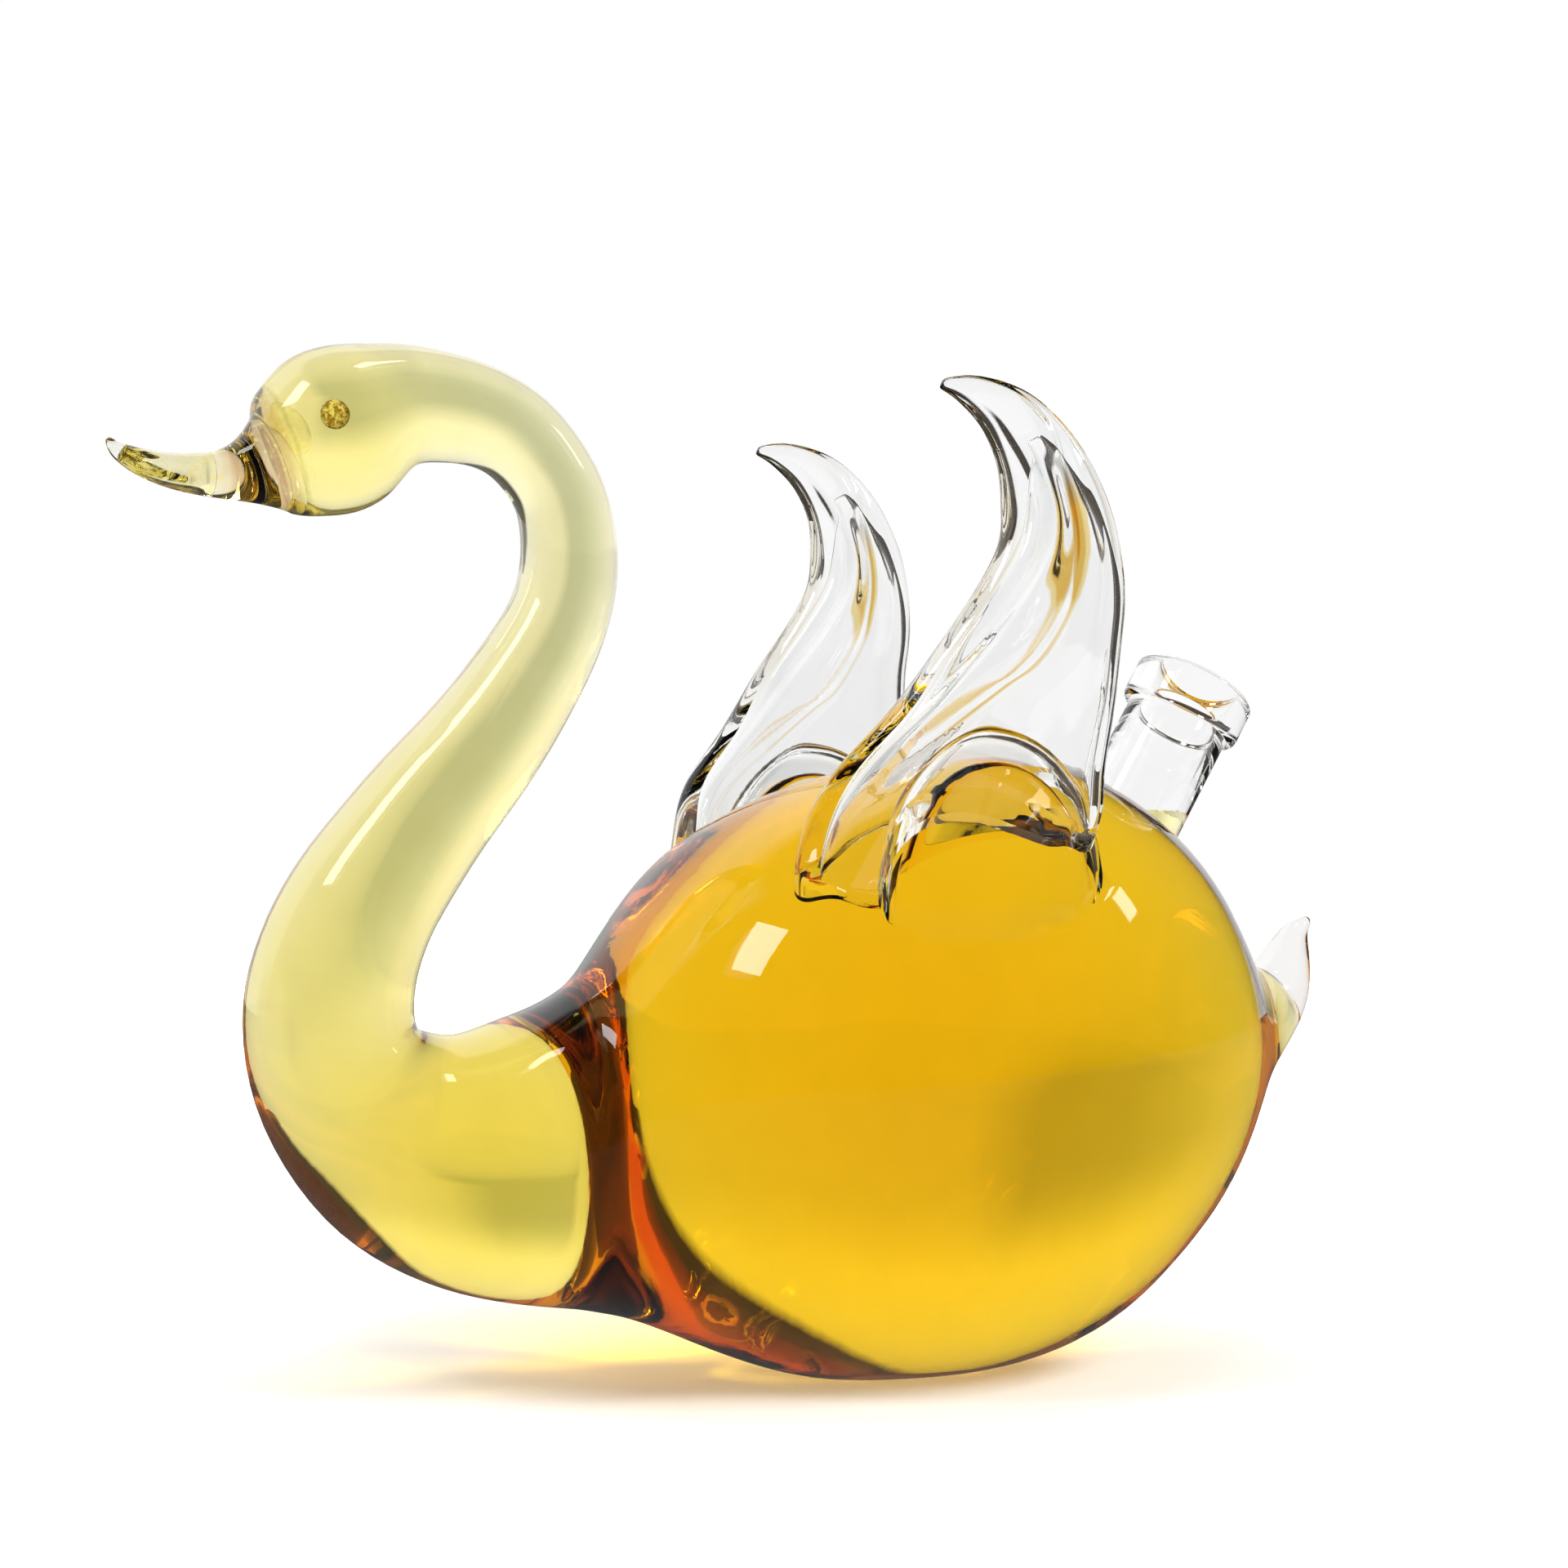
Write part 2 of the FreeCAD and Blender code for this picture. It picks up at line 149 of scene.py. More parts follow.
# Colour of the beak's glass from its tip (0) back into the head (1), along BEAK_LINE.
BEAK_LINE = (0.94, 0.0, 0.34)
BEAK_SHADES = (
    (0.00, (1.0, 1.0, 0.97)), (0.35, (0.99, 0.98, 0.90)), (0.60, (0.97, 0.92, 0.70)),
    (0.69, (0.86, 0.66, 0.36)), (0.73, (0.58, 0.36, 0.17)), (0.85, (0.62, 0.41, 0.21)),
    (0.915, (0.74, 0.56, 0.38)), (0.94, (0.94, 0.92, 0.80)), (0.955, (0.64, 0.62, 0.44)),
    (0.975, (0.97, 0.97, 0.92)), (1.00, (1.0, 1.0, 1.0)),
)
# How far that colour runs back from the seam, how much its edge wavers, the height below which
# there is none, and the golden flecks in it.
SEAM_BACK = 0.0052
SEAM_WAVER = 0.0016
BEAK_LOWEST = 0.16
GOLD_FLECK = (1.0, 0.86, 0.42, 1)

# Half width of a wing's amber thread at its widest, as a share of half the chord.
THREAD_WIDEST = {"wing_left": 0.15, "wing_right": 0.06}

# Colours laid on the wings: the thread, the dark grey it turns to at its top, and the painted shade
# along the front edge.
THREAD_AMBER = (0.80, 0.52, 0.12, 1)
THREAD_TOP_GREY = (0.42, 0.40, 0.36, 1)
FRONT_PAINTED_SHADE = (0.72, 0.66, 0.52, 1)

# Eyes: material, its pale and dim colour, the share of light let through, bending of light.
EYES = {
    "left": ("Gold-flecked eye glass", (1.00, 0.82, 0.14), (0.34, 0.20, 0.01), 0.35, 1.4),
    "right": ("Pale eye glass", (0.99, 0.98, 0.86), (0.96, 0.92, 0.66), 1.0, 1.03),
}

# Faint clouds in the glass: their colour, how fine they are and their share of the ripples.
FAINT_CLOUD = (0.985, 0.99, 0.985)
CLOUD_SCALE = 140.0
CLOUD_SHARE = 0.15

# Share of mirroring that is left between wine and glass.
WETTED_SHINE = 0.05

# Brightness of screen and floor at the horizon, from far left (0) to far right (1).  The parts
# below SIDE_DIM are a little less red.
SIDE_SHADES = (
    (0.05, 1.10), (0.20, 0.98), (0.32, 0.78), (0.39, 0.66), (0.45, 0.64), (0.49, 0.86),
    (0.60, 0.92),
)
SIDE_DIM = 0.8
SIDE_RED = 0.94

# Rises in degrees between which the lit screen brightens from the horizon's level to its own.
SCREEN_RISE = (5.0, 19.0)

# Direction of the screen's slanted edge, as parts to the right and up (30 degrees).
SLANT_RIGHT = 0.866
SLANT_UP = 0.5

# Darkest and lightest colour of the room beside the screen.
ROOM_SHADES = ((0.0, (0.022, 0.017, 0.012)), (1.0, (0.11, 0.10, 0.09)))

# Cosines between which the brightest light begins and is full.
SUN_EDGE = (0.955, 0.975)

# Distances from the object between which the floor whitens, and those at which it looks,
# through glass, like the horizon and like itself.
FLOOR_SHADOW = (0.05, 0.26)
FLOOR_UNDER = (1.6, 0.25)

# Size of the floor, share of its brightness in its darker spots, and the camera's sensor in
# millimetres.
FLOOR_SIZE = 8.0
FLOOR_SPOTS = 0.985
SENSOR_WIDTH = 36.0

# Glass faces that a ray crosses on its way through an empty, hollow piece, and how far the
# brightness behind such a piece is lifted towards white.
CLEAR_CROSSINGS = 4
CLEAR_LIFT = 0.75

# Soft boxes: direction from the object, distance, width and height, power in watts.
LAMPS = {
    "window_left": ((-0.67, -0.22, 0.70), 1.10, (0.24, 0.36), 2.6),
    "window_right": ((0.76, -0.31, 0.57), 1.10, (0.13, 0.17), 0.5),
    "sky_light": ((0.15, -0.10, 0.98), 1.20, (0.20, 0.12), 0.6),
}

# Corners round a section, rings of a ball, and rows between two sections of the vessel and of
# a wing.
RING_CORNERS = 48
BALL_RINGS = 32
BEAK_HOLLOW_CORNERS = 40
FINE_CORNERS = 64
VESSEL_STEPS = 2
WING_STEPS = 4

# Places of the rows of a rounded end, as shares of its reach.
CAP_SHARES = (0.98, 0.85, 0.55)

# Beak sections that its hollow follows, and the reach of the hollow's two rounded ends.
HOLLOW_SECTIONS = slice(3, 7)
HOLLOW_BACK = 0.0012
HOLLOW_FRONT = 0.0014

# Last row of the cavity, before the tail: steps back and up, size as a share, extra lean.
CAVITY_END = (0.0022, 0.0012, 0.6, 5)

# How far the filler neck's bore is cut past the mouth, height and width of the slope from the
# tube into its lip, and steps round each edge of the lip.
BORE_OVERRUN = 0.004
LIP_SLOPE = (0.0012, 0.0004)
LIP_STEPS = 4

# Distances under which vertices are merged and vertices count as lying in a cutting plane, the
# smallest angle worth a turn, and the narrowing past which a wing's hollow ends.
MERGE_DISTANCE = 0.000002
PLANE_TOLERANCE = 0.0000001
SMALLEST_TURN = 1e-9
HOLLOW_END = 0.995

# Wing flutes: the rise below the tip over which they fade, the furthest place across the chord
# that counts, and the height over the root up to which a point past the sections is low.
FLUTE_FADE = 0.35
WIDEST = 1.2
ROOT_REACH = 0.02


def length(name, description, default, **more):
    return bpy.props.FloatProperty(
        name=name, description=description, default=default, unit="LENGTH", precision=5, **more
    )


def share(name, description, default):
    return bpy.props.FloatProperty(
        name=name, description=description, default=default, min=0.0, max=1.0, subtype="FACTOR"
    )


def plain(name, description, default, **more):
    return bpy.props.FloatProperty(name=name, description=description, default=default, **more)


def angle(name, description, degrees):
    return bpy.props.FloatProperty(
        name=name, description=description, default=math.radians(degrees), subtype="ANGLE",
        unit="ROTATION",
    )


def colour(name, description, default):
    return bpy.props.FloatVectorProperty(
        name=name, description=description, default=default, subtype="COLOR", min=0.0, max=1.0
    )


class SwanVesselSettings(bpy.types.PropertyGroup):
    wall: length("Wall", "Thickness of the glass wall", 0.0022)
    foot_wall: length("Foot wall", "Thickness of the glass at the flat foot", 0.0034)
    beak_wall: length("Beak wall", "Thickness of the glass in the beak", 0.0010)
    body_front: length("Body front", "From the foot's middle forward to the weld ring", 0.0745)
    body_length: length("Body length", "From the weld ring to the tail's root", 0.1675)
    body_height: length("Body height", "Height of the body", 0.128)
    body_width: length("Body width", "Width of the body", 0.123)
    weld_level: length("Weld level", "Height of the weld ring's middle", 0.0468)
    weld_height: length("Weld height", "Height of the weld ring", 0.059)
    weld_width: length("Weld width", "Width of the weld ring", 0.052)
    weld_lean: plain("Weld lean", "Lean of the weld ring in degrees", -3.0)
    neck_height: length("Neck height", "From the weld ring up to the nape", 0.1464)
    neck_reach: length("Neck reach", "From the weld ring forward to the chest's front", 0.040)
    neck_tube: length("Neck tube", "Diameter of the neck where it is narrowest", 0.0184)
    neck_base: length("Neck base", "Diameter of the neck at the chest", 0.0324)
    head_length: length("Head length", "From the nape to the beak's seam", 0.0275)
    head_drop: length("Head drop", "From the nape down to the beak's seam", 0.0129)
    head_height: length("Head height", "Height of the head", 0.032)
    head_width: length("Head width", "Width of the head", 0.030)
    beak_length: length("Beak length", "From the seam to the tip", 0.0308)
    beak_dip: length("Beak dip", "How far the beak sags and rises again", 0.003)
    seam_wall: length("Seam wall", "From the seam back to the end of the head's cavity", 0.0040)
    seam_dome: length("Seam dome", "How far the end of the head's cavity bulges", 0.0016)
    tail_reach: length("Tail reach", "From the tail's root back to its tip", 0.0106)
    tail_rise: length("Tail rise", "From the tail's root up to its tip", 0.018)
    shoulder_x: length("Shoulder place", "Middle of the shoulders behind the foot's middle", 0.004)
    shoulder_spread: length("Shoulder spread", "Middle of a shoulder from the middle plane", 0.0455)
    shoulder_top: length("Shoulder top", "Height of the shoulders", 0.130)
    shoulder_size: bpy.props.FloatVectorProperty(
        name="Shoulder size", description="Half sizes of a shoulder",
        default=(0.024, 0.0105, 0.034), subtype="XYZ_LENGTH", unit="LENGTH",
    )


class SwanSpoutSettings(bpy.types.PropertyGroup):
    mouth_x: length("Mouth place", "Middle of the mouth behind the foot's middle", 0.0758)
    mouth_level: length("Mouth level", "Height of the mouth's middle", 0.143)
    lean: angle("Lean", "Lean of the filler neck towards the tail", 30.3)
    diameter: length("Diameter", "Outer diameter of the filler neck", 0.0226)
    bore: length("Bore", "Inner diameter of the filler neck", 0.0182)
    depth: length("Depth", "From the mouth to the buried end", 0.048)
    lip_diameter: length("Lip diameter", "Outer diameter of the lip", 0.0266)
    lip_height: length("Lip height", "Height of the lip", 0.0101)
    lip_round: length("Lip rounding", "Radius of the lip's edges", 0.0019)


class SwanWingSettings(bpy.types.PropertyGroup):
    place: length("Place", "Middle of the wing's root from the foot's middle", -0.003)
    level: length("Level", "Height of the wing's root", 0.084)
    rise: length("Rise", "From the root to the tip", 0.1115)
    chord: length("Chord", "Widest from front edge to back edge", 0.060)
    thickness: length("Thickness", "Widest from inner face to outer face", 0.024)
    spread: length("Spread", "Middle of the wing from the middle plane", 0.050)
    wall: length("Wall", "Thickness of the wing's glass", 0.0019)
    rim: length("Front rim", "Extra glass along the front edge", 0.0016)
    seat: length("Seat", "How deep the wing sinks into the vessel's wall", 0.0006)
    hollow_top: share("Hollow top", "Rise at which the wing's hollow has narrowed to a point", 0.93)
    hollow_taper: share("Hollow taper", "Rise over which the wing's hollow narrows", 0.30)
    flute_depth: length("Flute depth", "Depth of the main flute", 0.0026)
    flute_width: share("Flute width", "Width of the main flute as a share of half the chord", 0.17)


class SwanWineSettings(bpy.types.PropertyGroup):
    level: length("Level", "Height of the wine in the filler neck", 0.115)
    shoulder_gap: length("Shoulder gap", "Air beside the wine in a shoulder", 0.0010)
    shoulder_air: length("Shoulder air", "Further air over the wine in a shoulder", 0.0035)
    overlap: length("Overlap", "How far the wine reaches into the glass", 0.00006)
    ior: plain("Index of refraction", "Index of refraction of the wine", 1.36)
    absorption: colour("Absorption", "Colour that the wine lets through", (0.993, 0.888, 0.06))
    density: plain("Density", "Strength of the wine's absorption per metre", 50.0)


class SwanGlassSettings(bpy.types.PropertyGroup):
    ior: plain("Index of refraction", "Index of refraction of the clear glass", 1.47)
    ripple: plain("Ripple", "Strength of the glass's unevenness", 0.12)


class SwanStageSettings(bpy.types.PropertyGroup):
    azimuth: angle("Azimuth", "Side from which the camera looks", -22.0)
    distance: length("Distance", "Camera's level distance from its aim", 0.5778)
    height: length("Camera height", "Height of the camera", 0.105)
    aim: bpy.props.FloatVectorProperty(
        name="Aim", description="Point at which the camera looks", default=(-0.021, 0.0, 0.120),
        subtype="XYZ_LENGTH", unit="LENGTH",
    )
    lens: plain("Lens", "Focal length in millimetres", 65.0)
    world_light: plain("World light", "Strength of the all-round light on matt surfaces", 0.48)
    sun: bpy.props.FloatVectorProperty(
        name="Bright side", description="Direction of the brightest light",
        default=(0.48, -0.58, 0.66), subtype="DIRECTION",
    )
    sun_light: plain("Bright side light", "Strength of the brightest light", 9.5)
    screen_high: plain("Screen high", "Brightness of the lit screen at its top", 1.15)
    screen_right: angle("Screen right", "How far the lit screen reaches to the right", 34.0)
    screen_left: angle("Screen left", "How far the lit screen reaches to the left", 80.0)
    screen_top: angle("Screen top", "How far the lit screen reaches up", 62.0)
    screen_slant: angle("Screen slant", "How far the lit screen reaches up and to the right", 29.0)
    screen_near: angle("Screen near", "How far the lit screen comes round to the camera", 5.0)
    floor_glow: share("Floor glow", "Light of the floor itself near the object", 0.12)
    floor_through: share("Floor through glass", "Brightness of the floor through glass", 0.92)
    floor_mirrored: share("Floor mirrored", "Brightness of the floor mirrored in the glass", 0.09)
    floor: colour("Floor", "Colour of the floor", (0.95, 0.95, 0.95))


SETTINGS = {
    "swan_vessel": SwanVesselSettings,
    "swan_spout": SwanSpoutSettings,
    "swan_wing": SwanWingSettings,
    "swan_wine": SwanWineSettings,
    "swan_glass": SwanGlassSettings,
    "swan_stage": SwanStageSettings,
}


# ---------------------------------------------------------------- sections

def blend(low, high, part):
    return low + (high - low) * part


def weld_section(s):
    return (-s.body_front, s.weld_level, s.weld_height / 2, s.weld_width / 2, s.weld_lean)


def body_sections(s):
    found = []
    for along, middle, height, width, lean in BODY_SECTIONS:
        x = -s.body_front + along * s.body_length
        z, high = middle * s.body_height, height * s.body_height
        found.append((x, z, high, width * s.body_width / 2, lean))
    return found


def chest_sections(s):
    found = []
    for along, up, taller, wider, lean in CHEST_SECTIONS:
        height = blend(s.neck_base, s.weld_height, taller) / 2
        width = blend(s.neck_base, s.weld_width, wider) / 2
        x = -s.body_front + along * s.neck_reach
        found.append((x, s.weld_level + up * s.neck_height, height, width, lean))
    return found


def neck_sections(s):
    found = []
    for along, up, growth, lean in NECK_SECTIONS:
        radius = blend(s.neck_tube, s.neck_base, growth) / 2
        x = -s.body_front + along * s.neck_reach
        found.append((x, s.weld_level + up * s.neck_height, radius, radius, lean))
    return found


def head_sections(s):
    nape = neck_sections(s)[-1]
    found = []
    for along, down, height, width, lean in HEAD_SECTIONS:
        x = nape[0] - along * s.head_length
        z = nape[1] - down * s.head_drop
        found.append((x, z, height * s.head_height / 2, width * s.head_width / 2, lean))
    return found


def beak_sections(s):
    seam = head_sections(s)[-1]
    found = []
    for along, lift, height, width, lean in BEAK_SECTIONS:
        x = seam[0] - along * s.beak_length
        found.append((x, seam[1] + lift * s.beak_dip, height * seam[2], width * seam[3], lean))
    return found


def tail_sections(s):
    root = body_sections(s)[-1]
    found = []
    for along, up, size, lean in TAIL_SECTIONS:
        x = root[0] + along * s.tail_reach
        found.append((x, root[1] + up * s.tail_rise, size * root[2], size * root[3], lean))
    return found


def whole_vessel(s):
    """Sections from the beak's tip through neck, chest and body to the tail's tip."""
    rows = beak_sections(s)[::-1] + head_sections(s)[::-1] + neck_sections(s)[::-1]
    return rows + chest_sections(s) + [weld_section(s)] + body_sections(s) + tail_sections(s)


def inner_vessel(s):
    """Sections of the cavity, from the rounded end behind the beak to just before the tail."""
    rest = head_sections(s)[::-1] + neck_sections(s)[::-1]
    rest += chest_sections(s) + [weld_section(s)] + body_sections(s)
    rows = [(x, z, h - s.wall, w - s.wall, lean) for x, z, h, w, lean in rest]
    rows[0] = (rows[0][0] + s.seam_wall, *rows[0][1:])
    rows = end_cap(rows[0], s.seam_dome) + rows
    x, z, h, w, lean = rows[-1]
    back, up, size, leaning = CAVITY_END
    return rows + [(x + back, z + up, h * size, w * size, lean + leaning)]


def beak_hollow(s):
    """Sections of the beak's own hollow, from its rounded back end to before the tip."""
    sections = beak_sections(s)[HOLLOW_SECTIONS]
    rows = [(x, z, h - s.beak_wall, w - s.beak_wall, lean) for x, z, h, w, lean in sections]
    back = end_cap(rows[0], -HOLLOW_BACK)
    return end_cap(rows[-1], HOLLOW_FRONT) + rows[::-1] + back[::-1]


def end_cap(row, reach):
    """Sections of a rounded end before a row, smallest first."""
    x, z, h, w, lean = row
    tilt = math.radians(lean)
    found = []
    for part in CAP_SHARES:
        size = math.sqrt(1 - part ** 2)
        step = part * reach
        place = (x - step * math.cos(tilt), z - step * math.sin(tilt))
        found.append((*place, h * size, w * size, lean))
    return found


def smooth_rows(rows, steps):
    """More rows on a smooth curve through the given ones."""
    found = []
    for i in range(len(rows) - 1):
        a, b, c, d = rows[max(i - 1, 0)], rows[i], rows[i + 1], rows[min(i + 2, len(rows) - 1)]
        for step in range(steps):
            t = step / steps
            found.append(tuple(
                0.5 * (2 * q + (r - p) * t + (2 * p - 5 * q + 4 * r - u) * t * t
                       + (3 * q - p - 3 * r + u) * t ** 3)
                for p, q, r, u in zip(a, b, c, d)
            ))
    return found + [rows[-1]]


# ---------------------------------------------------------------- modelling

def nothing_selected():
    if bpy.context.object and bpy.context.object.mode != "OBJECT":
        bpy.ops.object.mode_set(mode="OBJECT")
    bpy.ops.object.select_all(action="DESELECT")


def only(piece):
    """Selects one object and nothing else."""
    nothing_selected()
    piece.select_set(True)
    bpy.context.view_layer.objects.active = piece


def edit_all(piece):
    """Takes one object to edit mode with all of it selected."""
    only(piece)
    bpy.ops.object.mode_set(mode="EDIT")
    bpy.ops.mesh.select_all(action="SELECT")


def added(name):
    """Names the new object and moves its origin to the world's."""
    piece = bpy.context.object
    piece.name = name
    piece.data.name = name
    bpy.ops.object.transform_apply(location=True, rotation=True, scale=True)
    return piece


def new_circle(name, corners, location, rotation, scale):
    """A filled circle, left in edit mode and selected for extrusion."""
    nothing_selected()
    bpy.ops.mesh.primitive_circle_add(
        vertices=corners, radius=1.0, fill_type="TRIFAN", location=location, rotation=rotation,
    )
    piece = added(name)
    edit_all(piece)
    bpy.ops.transform.resize(value=scale, center_override=location)
    return piece


def turn(angle, axis, centre):
    if abs(angle) > SMALLEST_TURN:
        bpy.ops.transform.rotate(value=angle, orient_axis=axis, center_override=centre)


def extrude(step):
    bpy.ops.mesh.extrude_region_move(TRANSFORM_OT_translate={"value": step})


def finish_mesh():
    bpy.ops.mesh.select_all(action="SELECT")
    bpy.ops.mesh.normals_make_consistent(inside=False)
    bpy.ops.object.mode_set(mode="OBJECT")


def lofted(name, rows, corners):
    """A disc drawn along the sections by extrusion, scaled and leaned at each, then rounded."""
    x, z, high, wide, lean = rows[0]
    piece = new_circle(name, corners, (x, 0, z), (0, math.pi / 2, 0), (1, wide, high))
    turn(math.radians(lean), "Y", (x, 0, z))
    for before, now in zip(rows, rows[1:]):
        extrude((now[0] - before[0], 0, now[1] - before[1]))
        centre = (now[0], 0, now[1])
        turn(-math.radians(before[4]), "Y", centre)
        bpy.ops.transform.resize(
            value=(1, now[3] / before[3], now[2] / before[2]), center_override=centre
        )
        turn(math.radians(now[4]), "Y", centre)
    finish_mesh()
    modify(piece, "SUBSURF", levels=1, render_levels=1)
    return piece


def modify(piece, kind, **settings):
    """Adds a modifier and applies it."""
    only(piece)
    modifier = piece.modifiers.new(kind.lower(), kind)
    for key, value in settings.items():
        setattr(modifier, key, value)
    bpy.ops.object.modifier_apply(modifier=modifier.name)


def combine(piece, tool, operation):
    """Boolean of two closed pieces; every face keeps the material of its own piece."""
    modify(
        piece, "BOOLEAN", object=tool, operation=operation, solver="EXACT",
        material_mode="TRANSFER",
    )
    bpy.data.objects.remove(tool)


def coat(piece, material):
    """Gives the whole piece one material."""
    piece.data.materials.clear()
    piece.data.materials.append(material)


def copied(piece, name):
    twin = piece.copy()
    twin.data = piece.data.copy()
    twin.name = name
    twin.data.name = name
    bpy.context.collection.objects.link(twin)
    return twin


def slice_off(piece, point, normal):
    """Cuts away what lies behind the plane and closes the cut."""
    edit_all(piece)
    bpy.ops.mesh.bisect(
        plane_co=point, plane_no=normal, use_fill=True, clear_inner=True,
        threshold=PLANE_TOLERANCE,
    )
    bpy.ops.object.mode_set(mode="OBJECT")


def swell(piece, amount):
    """Moves the whole surface outward by an amount."""
    edit_all(piece)
    bpy.ops.transform.shrink_fatten(value=amount)
    bpy.ops.object.mode_set(mode="OBJECT")


def ball(name, centre, sizes):
    nothing_selected()
    bpy.ops.mesh.primitive_uv_sphere_add(
        segments=RING_CORNERS, ring_count=BALL_RINGS, radius=1.0, location=centre, scale=sizes,
    )
    return added(name)


def settle(piece, angle=50):
    """Merges doubles, points the faces outward and smooths the shading."""
    edit_all(piece)
    bpy.ops.mesh.remove_doubles(threshold=MERGE_DISTANCE)
    bpy.ops.mesh.normals_make_consistent(inside=False)
    bpy.ops.object.mode_set(mode="OBJECT")
    bpy.ops.object.shade_smooth_by_angle(angle=math.radians(angle))


def with_shoulders(piece, s, wall, lower=0.0):
    """Adds the two shoulders, smaller by a wall all round and lower than the glass's own."""
    level = s.shoulder_top - s.shoulder_size[2] - lower
    sizes = tuple(half - wall for half in s.shoulder_size)
    for side in (-1, 1):
        centre = (s.shoulder_x, side * s.shoulder_spread, level)
        combine(piece, ball("shoulder", centre, sizes), "UNION")


def vessel_outside(scene, name):
    s = scene.swan_vessel
    outside = lofted(name, smooth_rows(whole_vessel(s), VESSEL_STEPS), RING_CORNERS)
    with_shoulders(outside, s, 0.0)
    slice_off(outside, (0, 0, 0), (0, 0, 1))
    return outside


def vessel_cavity(scene, name, gap=0.0, air=0.0):
    """The space inside; gap and air leave room round and over what fills the shoulders."""
    s = scene.swan_vessel
    inside = lofted(name, smooth_rows(inner_vessel(s), VESSEL_STEPS), RING_CORNERS)
    with_shoulders(inside, s, s.wall + gap, air)
    slice_off(inside, (0, 0, s.foot_wall), (0, 0, 1))
    return inside


def beak_cavity(scene, name):
    rows = smooth_rows(beak_hollow(scene.swan_vessel), VESSEL_STEPS)
    return lofted(name, rows, BEAK_HOLLOW_CORNERS)


def stand_on_spout(piece, spout):
    """Turns an upright piece onto the filler neck's axis, its origin to the mouth."""
    only(piece)
    mouth = Matrix.Translation((spout.mouth_x, 0, spout.mouth_level))
    piece.matrix_world = mouth @ Matrix.Rotation(spout.lean, 4, "Y")
    bpy.ops.object.transform_apply(location=True, rotation=True, scale=True)


def turned(name, profile):
    """An upright turned piece, drawn up through (radius, height) steps."""
    radius, level = profile[0]
    piece = new_circle(name, FINE_CORNERS, (0, 0, level), (0, 0, 0), (radius, radius, 1))
    for (before, low), (now, high) in zip(profile, profile[1:]):
        extrude((0, 0, high - low))
        growth = now / before
        bpy.ops.transform.resize(value=(growth, growth, 1), center_override=(0, 0, high))
    finish_mesh()
    return piece


def spout_outside(spout):
    tube = spout.diameter / 2
    lip = spout.lip_diameter / 2
    r = spout.lip_round
    under = -spout.lip_height
    high, wide = LIP_SLOPE
    profile = [(tube, -spout.depth), (tube, under - high), (tube + wide, under)]
    arc = [math.pi / 2 * step / LIP_STEPS for step in range(LIP_STEPS + 1)]
    profile += [(lip - r + r * math.sin(a), under + r - r * math.cos(a)) for a in arc]
    profile += [(lip - r + r * math.cos(a), -r + r * math.sin(a)) for a in arc]
    piece = turned("filler_neck_outside", profile)
    stand_on_spout(piece, spout)
    return piece


def spout_bore(spout):
    r = spout.bore / 2
    piece = turned("bore", [(r, -spout.depth), (r, BORE_OVERRUN)])
    stand_on_spout(piece, spout)
    return piece


def wing_places(w, hollow=False):
    """Middle, half chord, half thickness, lean, turn and rise of every section of a wing, or
    of its hollow, which narrows to a point below the wing's tip."""
    found = []
    for along, up, chord, thickness, spread, lean, out in smooth_rows(WING_SECTIONS, WING_STEPS):
        half_chord = chord * w.chord / 2 / math.cos(math.radians(out))
        half_thick = thickness * w.thickness / 2
        x = w.place + along * w.chord
        if hollow:
            over = (up - w.hollow_top + w.hollow_taper) / w.hollow_taper
            if over > HOLLOW_END:
                break
            narrowing = math.sqrt(1 - max(0.0, over) ** 2)
            half_chord = (half_chord - w.wall - w.rim / 2) * narrowing
            half_thick = (half_thick - w.wall) * narrowing
            x += w.rim / 2
        middle = Vector((x, -spread * w.spread, w.level + up * w.rise))
        found.append((middle, half_chord, half_thick, lean, out, up))
    return found


def wing_shape(scene, name, hollow):
    """Surface of the left wing or of its hollow, with the flutes pressed in."""
    w = scene.swan_wing
    places = wing_places(w, hollow)
    middle, half_chord, half_thick, lean, out, _ = places[0]
    piece = new_circle(name, FINE_CORNERS, middle, (0, 0, 0), (half_chord, half_thick, 1))
    turn(math.radians(lean), "Y", middle)
    turn(math.radians(out), "Z", middle)
    for before, now in zip(places, places[1:]):
        middle = now[0]
        extrude(middle - before[0])
        turn(math.radians(-before[4]), "Z", middle)
        turn(math.radians(-before[3]), "Y", middle)
        bpy.ops.transform.resize(
            value=(now[1] / before[1], now[2] / before[2], 1), center_override=middle
        )
        turn(math.radians(now[3]), "Y", middle)
        turn(math.radians(now[4]), "Z", middle)
    finish_mesh()
    press_flutes(piece, w)
    modify(piece, "SUBSURF", levels=1, render_levels=1)
    return piece


def along_path(path, up):
    """Value of a table of (rise, value) at one rise."""
    for (low, first), (high, second) in zip(path, path[1:]):
        if up <= high:
            return blend(first, second, (up - low) / (high - low))
    return path[-1][1]


def mark_places(piece, w):
    """Stores at every vertex its place across the chord and its rise, for the shader."""
    places = wing_places(w)
    field = piece.data.attributes.new("wing_place", "FLOAT_VECTOR", "POINT")
    for vertex, value in zip(piece.data.vertices, field.data):
        value.vector = (*place_in_wing(places, vertex.co), 0.0)


